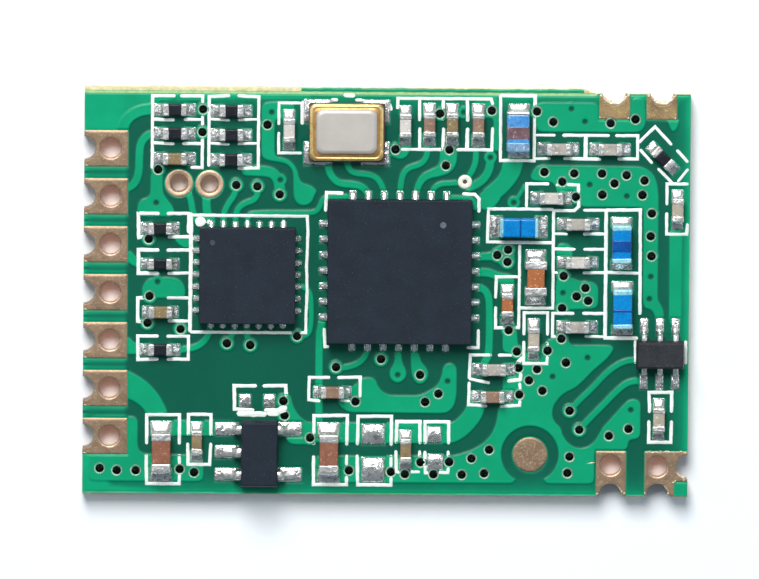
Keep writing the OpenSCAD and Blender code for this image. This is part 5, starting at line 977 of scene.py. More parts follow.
# its paint lifts G to 0.85: bare mask painted bright, painted light as near the other board edges
make("mask_run", Acc().add(V, F, [(0.0, 0.85, 0.45)] * len(V)), MASK, (), 40, attr=True)

# ---------------------------------------------------------------- plated edge pads
pads = Acc()
pads_ab = Acc()
lines = Acc()


def rect_loop(x0, x1, y0, y1, r, n=4):
    return [(x + (x0 + x1) / 2, y + (y0 + y1) / 2) for x, y in rr((x1 - x0) / 2, (y1 - y0) / 2, r, n)]


for k_, (x0, x1, y0, y1) in enumerate(PADS):
    a0, a1, b0, b1 = max(x0, -12.6), min(x1, 12.6), max(y0, -8.47), min(y1, 8.275)
    ci = [(x, y, 0.45) for x, y in HOLES] + [(x, y, 0.5) for x, y in NOTCH]
    ci = [c for c in ci if a0 - 0.6 < c[0] < a1 + 0.6 and b0 - 0.6 < c[1] < b1 + 0.6]

    def dist(x, y, a0=a0, a1=a1, b0=b0, b1=b1, ci=ci, k_=k_):
        d = d_rect((a0 + a1) / 2, (b0 + b1) / 2, a1 - a0, b1 - b0, 0, 0.05, x, y)
        for cx, cy, r in ci:
            d = np.maximum(d, r - np.hypot(x - cx, y - cy))
        if k_ == 10:
            d = np.maximum(d, -d_rect(12.5, -8.36, 0.9, 1.0, 0, 0.02, x, y))
        return d

    loops = []
    for o in (0.0, 0.012, 0.04, 0.06, 0.14):
        loops.append((True, rect_loop(a0 + o, a1 - o, b0 + o, b1 - o, 0.05)))
        for cx, cy, r in ci:
            loops.append((True, circle_pts(cx, cy, r + o, 40)))
        if k_ == 10:
            loops.append((True, rect_loop(12.05 - o, 13, -9, -7.86 + o, 0.02)))
    loops.append((False, [(a0, (b0 + b1) / 2), (a1, (b0 + b1) / 2)]))
    for zt, zb, up_ in ((ZCU, LAM1 - 0.002, 1), (Z0 + 0.02, LAM0 + 0.002, -1)):
        def ztop(x, y, zt=zt, up_=up_, dist=dist, b1=b1):
            d = -dist(x, y)
            h = 0.016 * (1 - np.clip(d / 0.045, 0, 1)) ** 1.2
            if up_ > 0:
                h = np.maximum(h, 0.024 * (1 - np.clip((b1 - y) / 0.062, 0, 1)))
            return zt + 0.004 * up_ - up_ * h + 0.003 * noise(x * 2.2, y * 2.2, 51)
        V, F = region(loops, lambda x, y: dist(x, y) < -1e-4, ztop, lambda x, y, zb=zb: np.full(x.shape, zb))
        (pads_ab if k_ in (7, 8) else pads).add(V, F)
    for cx, cy, r in ci:
        if r < 0.48:
            V, F = lathe([(0.452, 0.03), (0.446, 0.2), (0.448, 0.8), (0.45, ZCU - 0.04), (0.462, ZCU - 0.012), (0.476, ZCU - 0.004), (0.479, ZCU - 0.02), (0.479, 0.03)], 40)
            lines.add(turn(V, cx, cy, 0), F)
        else:
            if cx < -12:
                ang = (-88, 88)
            elif cx > 12.5:
                ang = (92, 268)
            elif cy > 0:
                ang = (184, 356)
            else:
                ang = (4, 176)
            V, F = arc_wall(cx, cy, 0.497, 0.03, 0.03, ZCU + 0.001, ang[0], ang[1], 28)
            (pads_ab if k_ in (7, 8) else pads).add(V, F)
make("edge_pads_plates", pads, PLATE, ["edge_pads"], 50)
make("edge_pads_plates_upper", pads_ab, SAND, (), 50)
make("edge_pads_walls", lines, BARREL, (), 50)

ragged_plating_and_highlight = Acc()


def lip(cx, cy, r, a0, a1, depth, seed, z=ZCU + 0.002, n=26):
    """Ragged sliver of lighter plating round part of a hole: a burr at the notches, a painted highlight on the lower
    rim of a round hole.
    """
    V, F = [], []
    for i in range(n + 1):
        t = i / n
        a = math.radians(a0 + (a1 - a0) * t)
        d = depth * math.sin(math.pi * t) ** 0.5 * (0.55 + 0.6 * abs(float(noise(t * 9 + seed, 0.3, seed))))
        zz = z + 0.006 * float(noise(t * 6, 0.7, seed + 2))
        for q, h in ((r + 0.02, zz - 0.012), (r + 0.012, zz + 0.006), (r - d * 0.5, zz + 0.003), (r - d - 0.003, zz - 0.014), (r - d * 0.5, zz - 0.026)):
            V.append((cx + q * math.cos(a), cy + q * math.sin(a), h))
    for i in range(n):
        for k in range(5):
            l = (k + 1) % 5
            F.append((i * 5 + k, (i + 1) * 5 + k, (i + 1) * 5 + l, i * 5 + l))
    F.append(tuple(range(5)))
    F.append(tuple(n * 5 + k for k in reversed(range(5))))
    ragged_plating_and_highlight.add(V, F)


def fleck(cx, cy, lx, ly, deg, seed, z=ZCU - 0.004, h=0.03):
    V, F = [], []
    n = 14
    for q, zz in ((1.0, 0.0), (0.96, h * 0.4), (0.7, h * 0.85), (0.3, h)):
        for i in range(n):
            a = 2 * math.pi * i / n
            w = q * (1 + 0.3 * float(noise(math.cos(a) * 1.5 + seed, math.sin(a) * 1.5, seed)))
            V.append((lx / 2 * w * math.cos(a), ly / 2 * w * math.sin(a), z + zz))
    for k in range(3):
        for i in range(n):
            j = (i + 1) % n
            F.append((k * n + i, k * n + j, (k + 1) * n + j, (k + 1) * n + i))
    F.append(tuple(reversed(range(n))))
    F.append(tuple(3 * n + i for i in range(n)))
    ragged_plating_and_highlight.add(turn(V, cx, cy, deg), F)


for j, (x, y) in enumerate(NOTCH[7:9]):
    lip(x, y, 0.5, 190, 350, 0.17, 3 + j, ZCU + 0.002, 44)
    lip(x, y, 0.505, 200, 290 + 20 * j, 0.2, 13 + j, ZCU - 0.09, 44)
    lip(x, y, 0.5, 240, 320, 0.24, 17 + j, ZCU - 0.2, 30)
for j, (x, y) in enumerate(NOTCH[9:11]):
    lip(x, y, 0.5, 12, 60, 0.05, 23 + j)
lip(12.6, -7.26, 0.5, 205, 262, 0.1, 31)
lip(12.6, -7.26, 0.5, 212, 250, 0.06, 33, ZCU - 0.06)
# bright slivers on the lower rims of the round holes: painted highlight standing in for their lit lower wall
for j, (x, y) in enumerate(HOLES[7:]):
    lip(x, y, 0.452, 215, 345, 0.03, 41 + j)
for j, (x, y) in enumerate(HOLES[:7]):
    lip(x, y, 0.452, 200, 330, 0.022, 51 + j)
fleck(8.6, -7.1, 0.3, 0.07, 8, 61, ZTOP - 0.012)
fleck(8.45, -7.12, 0.12, 0.04, -6, 62, ZTOP - 0.012)
for j in range(9):
    fleck(11.0 + j * 0.17, -6.63 + 0.035 * float(noise(j * 1.7, 2.2, 5)), 0.2, 0.05 + 0.02 * (j % 3), 25 * float(noise(j * 2.3, 0.1, 8)), 70 + j, ZCU - 0.006, 0.034)
for j, (x, y) in enumerate(((8.84, -8.4), (9.98, -8.36), (10.84, -8.36), (11.8, -8.36), (9.88, -8.3), (12.02, -7.9), (12.1, -7.84), (12.45, -7.8), (12.52, -6.66), (8.84, 7.32), (10.0, 7.3), (11.96, 7.3))):
    fleck(x, y, 0.11, 0.08, 40 * j, 90 + j)
for j, y in enumerate(LEFT_Y):
    for s_ in (-1, 1):
        fleck(-12.5, y + s_ * 0.71, 0.14, 0.05, 12 * s_, 110 + 2 * j + s_, ZCU - 0.006, 0.024)
make("ragged_plating_and_rim_highlights", ragged_plating_and_highlight, RAGGED_PLATING_AND_RIM_HIGHLIGHT, (), 70)

rings = Acc()
for x, y in PTHS:
    V, F = lathe([(0.372, 0.03), (0.368, 0.5), (0.37, ZCU - 0.05), (0.384, ZCU - 0.012), (0.41, ZCU + 0.004), (0.5, ZCU + 0.012), (0.56, ZCU + 0.008), (0.578, ZCU - 0.006), (0.58, LAM1), (0.398, LAM1), (0.398, LAM0), (0.58, LAM0), (0.575, 0.022), (0.4, 0.02)], 48)
    rings.add(turn(V, x, y, 0), F)
make("plated_rings", rings, RING, ["plated_holes"], 50)

via = Acc()
for v in VIAS:
    sq = 1 + 0.04 * float(noise(v[0] * 3, v[1] * 3, 61))
    V, F = lathe([(0.16, 0.03), (0.16, ZCU - 0.06), (0.166 * sq, ZTOP - 0.03), (0.178 * sq, ZTOP - 0.008), (0.196, ZTOP + 0.006), (0.222, ZTOP + 0.008), (0.246, ZTOP + 0.001), (0.27, ZTOP - 0.02), (0.24, LAM1 + 0.005), (0.17, LAM1), (0.17, 0.03)], 24)
    # paint along the rim profile: the hole's wall near black, painted shade; the rim's crown pale, thin mask over the
    # copper edge and partly painted highlight
    cols = [(0, 0, 0.0), (0, 0, 0.0), (0, 0, 0), (0.7, 0.7, 0.7), (1, 1, 1), (0.8, 0.8, 0.8), (0.25, 0.25, 0.25), (0, 0, 0), (0, 0, 0), (0, 0, 0), (0, 0, 0)]
    ring_c = []
    for i in range(24):
        # each rim is painted lighter on its lower side and darker on its upper: a painted highlight crescent
        g = 0.74 - 0.26 * math.sin(2 * math.pi * i / 24 + 0.5) + 0.14 * float(noise(i * 0.7, v[0] * 5, 62))
        ring_c += [tuple(min(q * g, 1) for q in c) for c in cols]
    via.add(turn(V, v[0], v[1], 0), F, ring_c)
VIAM, nt, bs, vec = tree("mat_via_rim")
at = nt.nodes.new("ShaderNodeVertexColor")
at.layer_name = "paint"
# rim colour from the paint: low paint gives the painted shade in the hole, high paint the pale crown with its painted
# highlight
pale = ramp(nt, tex(nt, vec, 7.0, 3.0), [(0.35, srgb(120, 196, 156)), (0.6, srgb(186, 226, 200)), (0.75, srgb(214, 216, 176))])
nt.links.new(mix(nt, at.outputs["Color"], srgb(3, 30, 24), pale), bs.inputs["Base Color"])
nt.links.new(spread(nt, tex(nt, vec, 12.0, 2.0), 0.3, 0.5), bs.inputs["Roughness"])
bump(nt, bs, tex(nt, vec, 9.0, 2.0), 0.3, 0.02)
make("via_rims", via, VIAM, ["plated_vias"], 60, attr=True)

tp = Acc()
V, F = lathe([(0.0001, ZCU + 0.01), (0.3, ZCU + 0.011), (0.62, ZCU + 0.012), (0.69, ZCU + 0.009), (0.72, ZCU - 0.004), (0.73, LAM1), (0.0001, LAM1)], 64)
tp.add(turn(V, TEST[0], TEST[1], 0), F)
make("test_pad", tp, PLATE, ["test_pads"], 50)
pr = Acc()
V, F = lathe([(0.085, LAM1), (0.088, ZCU + 0.006), (0.115, ZCU + 0.022), (0.18, ZCU + 0.03), (0.255, ZCU + 0.022), (0.29, ZCU + 0.004), (0.298, LAM1)], 32)
pr.add(turn(V, POINT[0], POINT[1], 0), F)
make("ring_point", pr, CREAM, (), 60)
V, F = lathe([(0.0001, LAM1 + 0.012), (0.06, LAM1 + 0.013), (0.08, LAM1 + 0.016), (0.092, LAM1 + 0.02), (0.092, LAM1 - 0.01), (0.0001, LAM1 - 0.01)], 24)
make("ring_point_centre", Acc().add(turn(V, POINT[0], POINT[1], 0), F), DARKC, (), 60)

# ---------------------------------------------------------------- lands and solder
lands = Acc()
for l in LANDS + PINS:
    V, F = loft([(l[2] / 2, l[3] / 2, 0.03, LAM1 - 0.002), (l[2] / 2, l[3] / 2, 0.03, ZCU - 0.014), (l[2] / 2 - 0.006, l[3] / 2 - 0.006, 0.03, ZCU - 0.004), (l[2] / 2 - 0.02, l[3] / 2 - 0.02, 0.03, ZCU)], 2)
    lands.add(turn(V, l[0], l[1], l[4]), F)
make("copper_lands", lands, SOLDER, ["copper_top"], 40)

sol = Acc()
sol_painted_lit = Acc()


def fillet(cx, cy, deg, e, reach, w, h, seed, inner=0.14, nu=11, nv=12, lift=0.03, round_=False):
    u = np.concatenate([[e - inner], e + reach * np.linspace(0, 1, nu) ** 0.9])
    v = np.linspace(-1, 1, nv + 1)
    U, Vv = np.meshgrid(u, v)
    s = np.clip((U - e) / reach, 0, 1)
    side_ = np.clip(1 - np.abs(Vv) ** 5, 0, 1)
    end = np.clip(1 - s ** 9, 0, 1)
    n1 = noise(U * 7 + seed, Vv * 2.2 + seed * 1.7, seed)
    n2 = noise(U * 16 + seed, Vv * 5 + seed, seed + 9)
    a_ = min(0.36 * reach, 0.7 * h)
    up_ = abs(deg % 360 - 90) < 1 and not round_
    q_up = round_ and abs(deg % 360 - 90) < 1
    prof = (0.37 * reach * (1 - s) + 0.03 * (1 - s) ** 6 if q_up else h * (1 - s) ** 2.1) if round_ else a_ * (1 - s) ** 1.15 + (h - a_) * (1 - s) ** 7
    if up_:
        prof = 0.4 * reach * (1 - s) + 0.3 * h * (1 - s) ** 9
    amp = 0.08 if q_up else 0.3 if up_ or round_ else 1.0
    z = ZCU + 0.004 + (prof * (1 - 0.5 * np.abs(Vv) ** (5 if up_ else 3)) + lift * (1 - s * 0.3)) * side_ ** 0.6 * end ** 0.6 + amp * (0.016 * n1 + 0.006 * n2) * side_ * end * (0.35 + s)
    if round_ and abs(math.sin(math.radians(deg))) < 0.1:
        z = z + 0.034 * (1 - Vv ** 2) * end ** 0.5
    Y = Vv * w / 2 * ((1 - s ** 3 * 0.55) if round_ else (1 - 0.1 * s ** 6)) * (1 + 0.03 * n1 * s)
    X = U - 0.02 * s ** 3 * Vv ** 4
    V = [(float(a), float(b), float(c)) for a, b, c in zip(X.ravel(), Y.ravel(), z.ravel())]
    m = len(u)
    F = [(i * m + j, i * m + j + 1, (i + 1) * m + j + 1, (i + 1) * m + j) for i in range(nv) for j in range(m - 1)]
    # flat underside, so each joint is a closed body
    o = len(V)
    ringi = [j for j in range(m)] + [i * m + m - 1 for i in range(1, nv + 1)] + [nv * m + j for j in range(m - 2, -1, -1)] + [i * m for i in range(nv - 1, 0, -1)]
    V += [(V[i][0], V[i][1], ZCU - 0.006) for i in ringi]
    n = len(ringi)
    F += [(ringi[(i + 1) % n], ringi[i], o + i, o + (i + 1) % n) for i in range(n)]
    F.append(tuple(o + i for i in reversed(range(n))))
    # joints and pins facing +y, towards the key lamp, go to the lighter copy: painted highlight
    (sol_painted_lit if up_ or q_up else sol).add(turn(V, cx, cy, deg), F)


def pillow(cx, cy, lx, ly, h, seed, deg=0, n=14):
    g = np.linspace(-1, 1, n + 1)
    U, W = np.meshgrid(g, g)
    edge = np.clip((1 - np.abs(U) ** 6), 0, 1) ** 0.5 * np.clip(1 - np.abs(W) ** 2, 0, 1) ** 0.75
    low = step(0.15, -0.25, W)
    z = ZCU + 0.002 + h * edge * (1 + 0.12 * noise(U * 1.6 + seed, W * 1.6, seed)) + edge ** 0.5 * low * (0.022 * noise(U * 3.1, W * 3.1 + seed, seed + 3) + 0.008 * noise(U * 7, W * 7, seed))
    X = U * lx / 2 * (1 - 0.06 * W ** 6)
    Y = W * ly / 2 * (1 - 0.06 * U ** 6)
    V = [(float(a), float(b), float(c)) for a, b, c in zip(X.ravel(), Y.ravel(), z.ravel())]
    m = n + 1
    F = [(i * m + j, i * m + j + 1, (i + 1) * m + j + 1, (i + 1) * m + j) for i in range(n) for j in range(n)]
    o = len(V)
    ringi = [j for j in range(m)] + [i * m + n for i in range(1, m)] + [n * m + j for j in range(n - 1, -1, -1)] + [i * m for i in range(n - 1, 0, -1)]
    V += [(V[i][0], V[i][1], ZCU - 0.006) for i in ringi]
    k2 = len(ringi)
    F += [(ringi[(i + 1) % k2], ringi[i], o + i, o + (i + 1) % k2) for i in range(k2)]
    F.append(tuple(o + i for i in reversed(range(k2))))
    sol.add(turn(V, cx, cy, deg), F)


sd = 1
for c in RESISTORS + CAPACITORS + INDUCTORS:
    for q in (0, 180):
        sd += 1
        fillet(c[0], c[1], c[2] + q, c[3] / 2 - 0.02, c[6], c[7] * 0.98, c[5] * (0.5 if c[5] < 0.4 else 0.52), sd)
for b in BARE:
    sd += 1
    pillow(b[0], b[1], b[2], b[3], 0.115 * b[3] / 0.86, sd)
for x in U3X:
    for s in (-1, 1):
        sd += 1
        pillow(U3[0] + x, U3[1] + s * 1.16, 0.36, 0.68, 0.07, sd)
for y in U4Y:
    sd += 1
    pillow(U4[0] - 1.38, U4[1] + y, 0.98, 0.56, 0.06, sd)
for y in (U4Y[0], U4Y[2]):
    sd += 1
    pillow(U4[0] + 1.3, U4[1] + y, 0.98, 0.62, 0.06, sd)
for l in XLANDS:
    sd += 1
    pillow(l[0], l[1], l[2], l[3], 0.05, sd)
make("solder", sol, SOLDER, ["solder_joints"], 80)
make("solder_painted_lit", sol_painted_lit, SOLDER_PAINTED_LIT, (), 80)
sol = Acc()
sol_painted_lit = Acc()
for (ux, uy, pitch, w, half, toe) in ((0.53, 0.87, 0.65, 0.28, 3.0, 0.36), (-5.8, 0.67, 0.5, 0.24, 2.0, 0.29)):
    for q in range(4):
        for i in range(-3, 4):
            a = math.radians(90 * q)
            sd += 1
            px, py = ux - i * pitch * math.sin(a), uy + i * pitch * math.cos(a)
            fillet(px, py, 90 * q, half - 0.01, toe * (1 + 0.12 * math.sin(sd * 2.4)), w * (1.1 + 0.12 * math.sin(sd * 1.7)) * (0.8 if q == 3 else 1.0), 0.15, sd, 0.06, 9, 10, 0.075, True)
make("pin_solder", sol, PINS_M, (), 80)
make("pin_solder_painted_lit", sol_painted_lit, SOLDER_PAINTED_LIT, (), 80)

# ---------------------------------------------------------------- legend
inka = Acc()


def ink_line(w, pts):
    q = [pts[0]]
    for a, b in zip(pts[:-1], pts[1:]):
        L = math.dist(a, b)
        k2 = max(int(L / 0.07), 1)
        q += [[a[0] + (b[0] - a[0]) * i / k2, a[1] + (b[1] - a[1]) * i / k2] for i in range(1, k2 + 1)]
    run = []
    seg = []
    for i, p in enumerate(q):
        a, b = q[max(i - 1, 0)], q[min(i + 1, len(q) - 1)]
        d = math.dist(a, b) or 1
        nx, ny = -(b[1] - a[1]) / d, (b[0] - a[0]) / d
        # a corner keeps its full width
        if 0 < i < len(q) - 1:
            u1 = ((p[0] - a[0]), (p[1] - a[1]))
            l1 = math.hypot(*u1) or 1
            u2 = ((b[0] - p[0]), (b[1] - p[1]))
            l2 = math.hypot(*u2) or 1
            cosb = (u1[0] * u2[0] + u1[1] * u2[1]) / l1 / l2
            k3 = 1 / math.sqrt(max((1 + cosb) / 2, 0.3))
        else:
            k3 = 1
        wl = w / 2 * (1 + 0.13 * float(noise(p[0] * 6, p[1] * 6, 71))) * k3
        wr = w / 2 * (1 + 0.13 * float(noise(p[0] * 6 + 9, p[1] * 6, 72))) * k3
        ok = float(field_at(OP, p[0], p[1])) > (-0.09 if w < 0.25 else -1.0) and float(field_at(VD, p[0], p[1])) > 0.2
        if ok:
            seg.append((p, nx, ny, wl, wr))
        else:
            if len(seg) > 1:
                run.append(seg)
            seg = []
    if len(seg) > 1:
        run.append(seg)
    for s in run:
        V = []
        n = len(s)
        for i, (p, nx, ny, wl, wr) in enumerate(s):
            for t, h in ((-1, -0.004), (-0.8, 0.009), (0, 0.012), (0.8, 0.009), (1, -0.004)):
                ww = wl if t > 0 else wr
                x, y = p[0] + nx * ww * t, p[1] + ny * ww * t
                if i in (0, n - 1):
                    e = 0.35 * w * (1 - abs(t)) * (1 if i else -1)
                    x, y = x + ny * e, y - nx * e
                    h = h - 0.006
                V.append((x, y, max(float(mask_height(x, y)), LAM1 + 0.022) + h))
        F = [(i * 5 + j + 1, i * 5 + j, (i + 1) * 5 + j, (i + 1) * 5 + j + 1) for i in range(n - 1) for j in range(4)]
        inka.add(V, F)


for w, p in INK:
    ink_line(w * 1.13, p)
for w, p in ((0.24, [(-6.12, -5.13), (-5.02, -5.16)]), (0.3, [(-4.86, -5.1), (-4.5, -5.04), (-4.2, -4.9)]), (0.2, [(-7.5, 2.9), (-7.34, 2.84)]), (0.25, [(-8.2, 3.18), (-8.2, 2.42)])):
    ink_line(w, p)
V, F = lathe([(0.0, 0.0), (0.15, 0.0), (0.215, 0.004), (0.225, 0.012), (0.2, 0.026), (0.12, 0.034), (0.0, 0.037)], 24)
V = [(x * (1 + 0.05 * math.sin(3 * math.atan2(y, x) + 1)), y * (0.92 + 0.05 * math.sin(2 * math.atan2(y, x))), z + LAM1 + 0.046) for x, y, z in V]
inka.add(turn(V, -7.76, 2.87, 0), F)
make("legend", inka, INKM, ["legend_print"], 60)

# ---------------------------------------------------------------- two-ended chip parts
def two_end(name, c, body_mat, body_slot, end_mat, cap, kind, seed):
    hl, hw, h = c[3] / 2, c[4] / 2, c[5]
    thin = 0.065 if name == "capacitor_13" else 0.0
    hl -= 1.2 * thin
    b = Acc()
    if kind == "res":
        V, F = softbox(hl - 0.03, hw - 0.012, ZP + 0.01, ZP + h - 0.05, 0.02, 0.02)
        b.add(V, F)
        # printed film with glass over it, between the end plates
        V, F = loft([(hl - cap * 0.9, hw - 0.02, 0.03, ZP + h - 0.055), (hl - cap * 0.92, hw - 0.03, 0.03, ZP + h - 0.03), (hl - cap - 0.05, hw - 0.07, 0.03, ZP + h - 0.018)])
        b.add(V, F)
    else:
        V, F = softbox(hl - 0.03, hw - 0.014 - 0.6 * thin, ZP + 0.012, ZP + h - 0.016, 0.045, 0.035)
        b.add(V, F)
    b.v = turn(b.v, c[0], c[1], c[2])
    make(name + "_body", b, body_mat, [name], 45)
    e = Acc()
    for s in (-1, 1):
        V, F = softbox(cap / 2, hw + 0.7 * thin, ZP, ZP + h, 0.05, 0.045, 5)
        W = []
        for x, y, z in V:
            inn = (s * x < 0)
            dx = 0.022 * float(noise(y * 7 + seed, z * 7 + s, seed)) if inn else 0.006 * float(noise(y * 5, z * 5 + seed, seed + 1))
            bulge = 0.006 * (1 - (2 * x / cap) ** 2)
            W.append((x + dx + s * (hl - cap / 2), y * (1 + bulge), z))
        e.add(W, F)
    e.v = turn(e.v, c[0], c[1], c[2])
    make(name + "_ends", e, end_mat, (), 50)


for i, c in enumerate(RESISTORS):
    two_end("resistor_%d" % (i + 1), c, RES, "resistor_coat", TIN, 0.26, "res", 100 + i)
CAPC = {2: LGREY, 3: LGREY, 10: LGREY, 12: LGREY, 9: BEIGE, 15: BEIGE, 25: BEIGE, 1: TAN, 4: BROWN, 5: TAN, 6: BROWN, 13: ORANGE, 14: ORANGE, 18: BROWN, 19: BROWN, 20: TAN, 21: REDB, 22: TAN, 23: REDB, 24: TAN}
CAPS_SLOT = {id(TAN): "tan_ceramic", id(BROWN): "brown_ceramic", id(REDB): "brown_ceramic", id(ORANGE): "orange_ceramic", id(GREY): "grey_ceramic", id(LGREY): "grey_ceramic", id(BEIGE): "grey_ceramic"}
for i, c in enumerate(CAPACITORS):
    m_ = CAPC.get(i + 1, GREY)
    two_end("capacitor_%d" % (i + 1), c, m_, CAPS_SLOT[id(m_)], TIN, 0.34 if c[3] > 1.2 else 0.25, "cap", 200 + i)

for i, c in enumerate(INDUCTORS):
    hl, hw, h = c[3] / 2, c[4] / 2 + (0.05 if i == 0 else 0), c[5]
    if i == 0:
        c = [c[0] - 0.05] + list(c[1:])
    b = Acc()
    V, F = softbox(hl - 0.1, hw - 0.01, ZP + 0.01, ZP + h - 0.01, 0.08, 0.06)
    b.add(turn(V, c[0], c[1], c[2]), F)
    make("inductor_%d_body" % (i + 1), b, BLUE2 if i == 0 else BLUE, ["inductor_%d" % (i + 1)], 50)
    bd = Acc()
    x0, x1 = ((-0.34, 0.26), (0.02, 0.09), (-0.36, 0.2), (-0.16, 0.02))[i]
    V, F = softbox((x1 - x0) / 2, hw - 0.003, ZP + 0.012, ZP + h - 0.003, 0.07, 0.02)
    V = [(x + (x0 + x1) / 2, y, z) for x, y, z in V]
    bd.add(turn(V, c[0], c[1], c[2]), F)
    make("inductor_%d_band" % (i + 1), bd, (HAZE, TEAL, TEAL, TEAL)[i], (), 50)
    for s, wd, mt, nm in ((-1, (0.42, 0.17, 0.25, 0.22)[i], PALEB if i == 0 else CYAN, "left"), (1, (0.16, 0.13, 0.24, 0.26)[i], TIN if i == 0 else CYAN, "right")):
        e = Acc()
        V, F = softbox(wd / 2, hw, ZP, ZP + h, 0.06, 0.07, 5)
        W = [(x + s * (hl - wd / 2) + 0.02 * float(noise(y * 6 + i, z * 6, 300 + i)) * (s * x < 0), y, z) for x, y, z in V]
        e.add(turn(W, c[0], c[1], c[2]), F)
        make("inductor_%d_end_%s" % (i + 1, nm), e, mt, (), 50)

# ---------------------------------------------------------------- square chips
def square_chip(name, node_body, cx, cy, side_, h, dot, dot_r, dot_mat):
    b = Acc()
    V, F = softbox(side_ / 2, side_ / 2, ZP, ZP + h - 0.0, 0.035, 0.05, 3)
    b.add(turn(V, cx, cy, 0), F)
    make(name, b, IC, [node_body], 40)
    d = Acc()
    V, F = lathe([(0.0001, ZP + h + 0.0005), (dot_r * 0.8, ZP + h + 0.001), (dot_r * 0.92, ZP + h + 0.003), (dot_r, ZP + h + 0.0005), (dot_r, ZP + h - 0.01), (0.0001, ZP + h - 0.01)], 28)
    d.add(turn(V, dot[0], dot[1], 0), F)
    make(name + "_dot", d, dot_mat, (), 60)


square_chip("radio_chip", "radio_chip_body", 0.53, 0.87, 6.0, 0.85, (2.32, 2.85), 0.13, DOT)
square_chip("controller", "controller_body", -5.8, 0.67, 4.0, 0.85, (-7.26, 2.06), 0.11, DOT2)
for nm in ("radio_chip_terminals", "controller_terminals"):
    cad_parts[nm].data.materials.clear()
    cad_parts[nm].data.materials.append(TIN)

# ---------------------------------------------------------------- gull-wing packages
def gull_path(x0, reach, top):
    p = [[x0 - 0.03, top], [x0 + 0.12, top], [x0 + 0.2, top - 0.06], [x0 + 0.27, 0.16], [x0 + 0.33, 0.07], [x0 + reach, 0.065]]
    return chaikin(p, 2)


def sot(name, node_b, node_l, cx, cy, deg, hl, hw, leads, lw, x0, reach, mt, trim=0.0):
    b = Acc()
    hw -= trim
    H1 = 0.95
    V, F = loft([(hl - 0.05, hw - 0.07, 0.04, 0.1), (hl - 0.01, hw - 0.02, 0.05, 0.42), (hl, hw, 0.05, 0.5), (hl - 0.01, hw - 0.015, 0.05, 0.54), (hl - 0.05, hw - 0.075, 0.05, H1 - 0.05), (hl - 0.062, hw - 0.09, 0.05, H1 - 0.016), (hl - 0.09, hw - 0.12, 0.05, H1)], 4)
    b.add(turn(V, cx, cy - trim, deg, ZP), F)
    make(name + "_case", b, mt, [node_b], 40)
    l = Acc()
    for pos, rot in leads:
        V, F = sweep(gull_path(x0, reach, 0.5), lw, 0.13)
        V = turn(V, 0, 0, rot)
        V = [(x + pos[0], y + pos[1], z) for x, y, z in V]
        l.add([(cx + x, cy + y, ZP + z - 0.0) for x, y, z in V], F)
    make(name + "_legs", l, TIN, [node_l], 50)


sot("switch_chip", "switch_chip_body", "switch_chip_leads", 11.4, -2.52, 0, 1.0, 0.6, [((x, 0), r) for x in U3X for r in (90, 270)], 0.22, 0.6, 0.62, IC2)
sot("regulator", "regulator_body", "regulator_leads", -5.24, -6.72, 0, 0.78, 1.43, [((0, y), 180) for y in U4Y] + [((0, y), 0) for y in (U4Y[0], U4Y[2])], 0.36, 0.78, 0.7, IC, 0.035)

# ---------------------------------------------------------------- crystal
cb = Acc()
# the base in dark ceramic; its darkness is partly painted shade for the band along its lower side
V, F = loft([(1.56, 1.21, 0.1, 0.0), (1.58, 1.23, 0.1, 0.02), (1.58, 1.23, 0.1, 0.38), (1.56, 1.21, 0.1, 0.4)], 5)
cb.add(turn(V, XC[0], XC[1], 0, ZP), F)
make("crystal_package", cb, DARKC, ["crystal_base"], 40)
ox, oy = 1.54, 1.19
px_, py_ = XC[0] - 0.015, XC[1] + 0.02


def stack(rings_, material, name, replaces=(), corner_=0.26, up_by=0.0):
    acc = Acc()
    V, F = loft([(ox - d, oy - d, max(corner_ - 0.3 * d, 0.15), z) for d, z in rings_], 7)
    acc.add(turn(V, px_, py_ + up_by, 0, ZP), F)
    make(name, acc, material, replaces, 60)


stack([(0.02, 0.395), (0.0, 0.41), (0.0, 0.505), (0.008, 0.52), (0.035, 0.54), (0.065, 0.556), (0.095, 0.566), (0.13, 0.566), (0.15, 0.556), (0.158, 0.53)], SEAL, "crystal_ring", ["crystal_seal_ring"])
stack([(0.15, 0.5), (0.155, 0.53), (0.165, 0.532), (0.22, 0.545), (0.29, 0.562)], BRAZE, "crystal_braze")
stack([(0.272, 0.53), (0.27, 0.56), (0.272, 0.6), (0.28, 0.625), (0.302, 0.645), (0.34, 0.664), (0.375, 0.68), (0.4, 0.688), (0.43, 0.69)], LID, "crystal_cover", ["crystal_lid"], 0.36, 0.03)

# ---------------------------------------------------------------- CAD pieces that stay
for nm, mt in (("copper_bottom", COPPER),):
    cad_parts[nm].data.materials.clear()
    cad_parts[nm].data.materials.append(mt)
low = plain("mat_mask_lower", srgb(16, 120, 92), srgb(22, 140, 106), 0.6, (0.26, 0.38), 0, (4, 0.18, 0.02), coat=0.25)
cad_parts["solder_mask_bottom"].data.materials.clear()
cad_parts["solder_mask_bottom"].data.materials.append(low)

# ---------------------------------------------------------------- floor, light, camera
fm, nt, bs, vec = tree("mat_floor")
nt.links.new(ramp(nt, tex(nt, vec, 0.02, 2.0), [(0.3, (0.885, 0.93, 0.98, 1)), (0.7, (0.905, 0.95, 0.995, 1))]), bs.inputs["Base Color"])
bs.inputs["Roughness"].default_value = 0.85
bs.inputs["Specular IOR Level"].default_value = 0.1
fme = bpy.data.meshes.new("floor")
fme.from_pydata([(-2, -2, 0), (2, -2, 0), (2, 2, 0), (-2, 2, 0)], [], [(0, 1, 2, 3)])
fme.materials.append(fm)
floor = bpy.data.objects.new("floor", fme)
bpy.context.scene.collection.objects.link(floor)


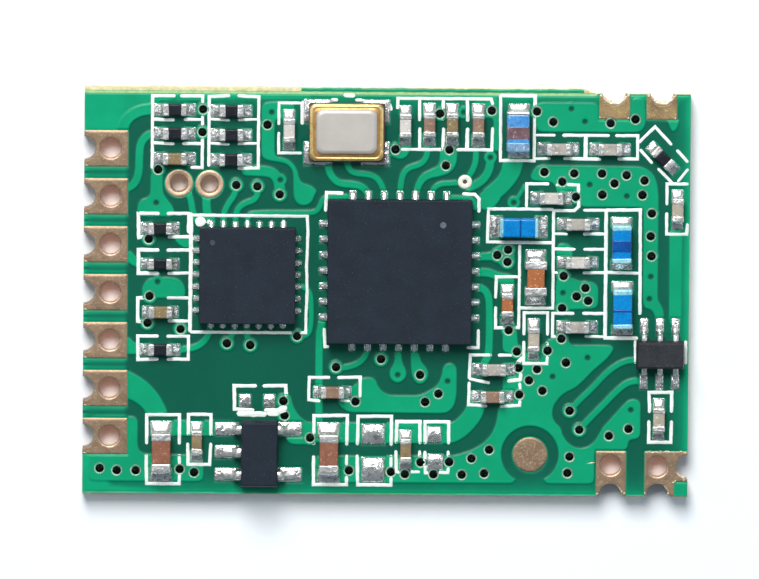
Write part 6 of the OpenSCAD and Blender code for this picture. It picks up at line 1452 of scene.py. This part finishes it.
def area(name, loc, aim, size, power, color=(1, 1, 1)):
    li = bpy.data.lights.new(name, "AREA")
    li.shape = "RECTANGLE"
    li.size, li.size_y = size
    li.energy = power
    li.color = color
    ob = bpy.data.objects.new(name, li)
    ob.location = loc
    ob.rotation_euler = (Vector(aim) - Vector(loc)).to_track_quat("-Z", "Y").to_euler()
    bpy.context.scene.collection.objects.link(ob)
    return ob


area("key", (-0.05, 0.22, 0.29), (0, 0, 0), (0.15, 0.23), 1.65, (1.0, 0.98, 0.945))
area("fill_right", (0.27, 0.03, 0.26), (0, 0, 0), (0.1, 0.24), 0.15, (0.9, 0.96, 1.0))
area("fill_left", (-0.28, 0.04, 0.25), (0, 0, 0), (0.1, 0.24), 0.13, (0.95, 0.97, 1.0))
world = bpy.data.worlds.new("studio")
bpy.context.scene.world = world
world.use_nodes = True
world.node_tree.nodes["Background"].inputs["Color"].default_value = (0.66, 0.83, 1.0, 1)
world.node_tree.nodes["Background"].inputs["Strength"].default_value = 0.21

cam = bpy.data.cameras.new("camera")
cam_ob = bpy.data.objects.new("camera", cam)
bpy.context.scene.collection.objects.link(cam_ob)
dist_ = 0.6
target = Vector((-0.2875e-3, 0.087e-3, 1.0e-3))
tilt, left = math.radians(4.5), math.radians(1.2)
direction = Vector((-math.sin(left), math.sin(tilt), 1)).normalized()
pos = target + direction * dist_
roll = math.radians(0.382)
fwd = -direction
R = Vector((math.cos(roll), math.sin(roll), 0))
R = (R - fwd * R.dot(fwd)).normalized()
U = R.cross(fwd)
mat4 = Matrix(((R.x, U.x, -fwd.x, pos.x), (R.y, U.y, -fwd.y, pos.y), (R.z, U.z, -fwd.z, pos.z), (0, 0, 0, 1)))
cam_ob.matrix_world = mat4
cam.sensor_fit = "HORIZONTAL"
cam.sensor_width = 36
cam.lens = 1.0015 * 36 * dist_ / (759 / 24.0 * 0.001)
cam.clip_start, cam.clip_end = 0.01, 10
bpy.context.scene.camera = cam_ob
bpy.context.scene.view_settings.view_transform = "Standard"
bpy.context.scene.view_settings.look = "None"
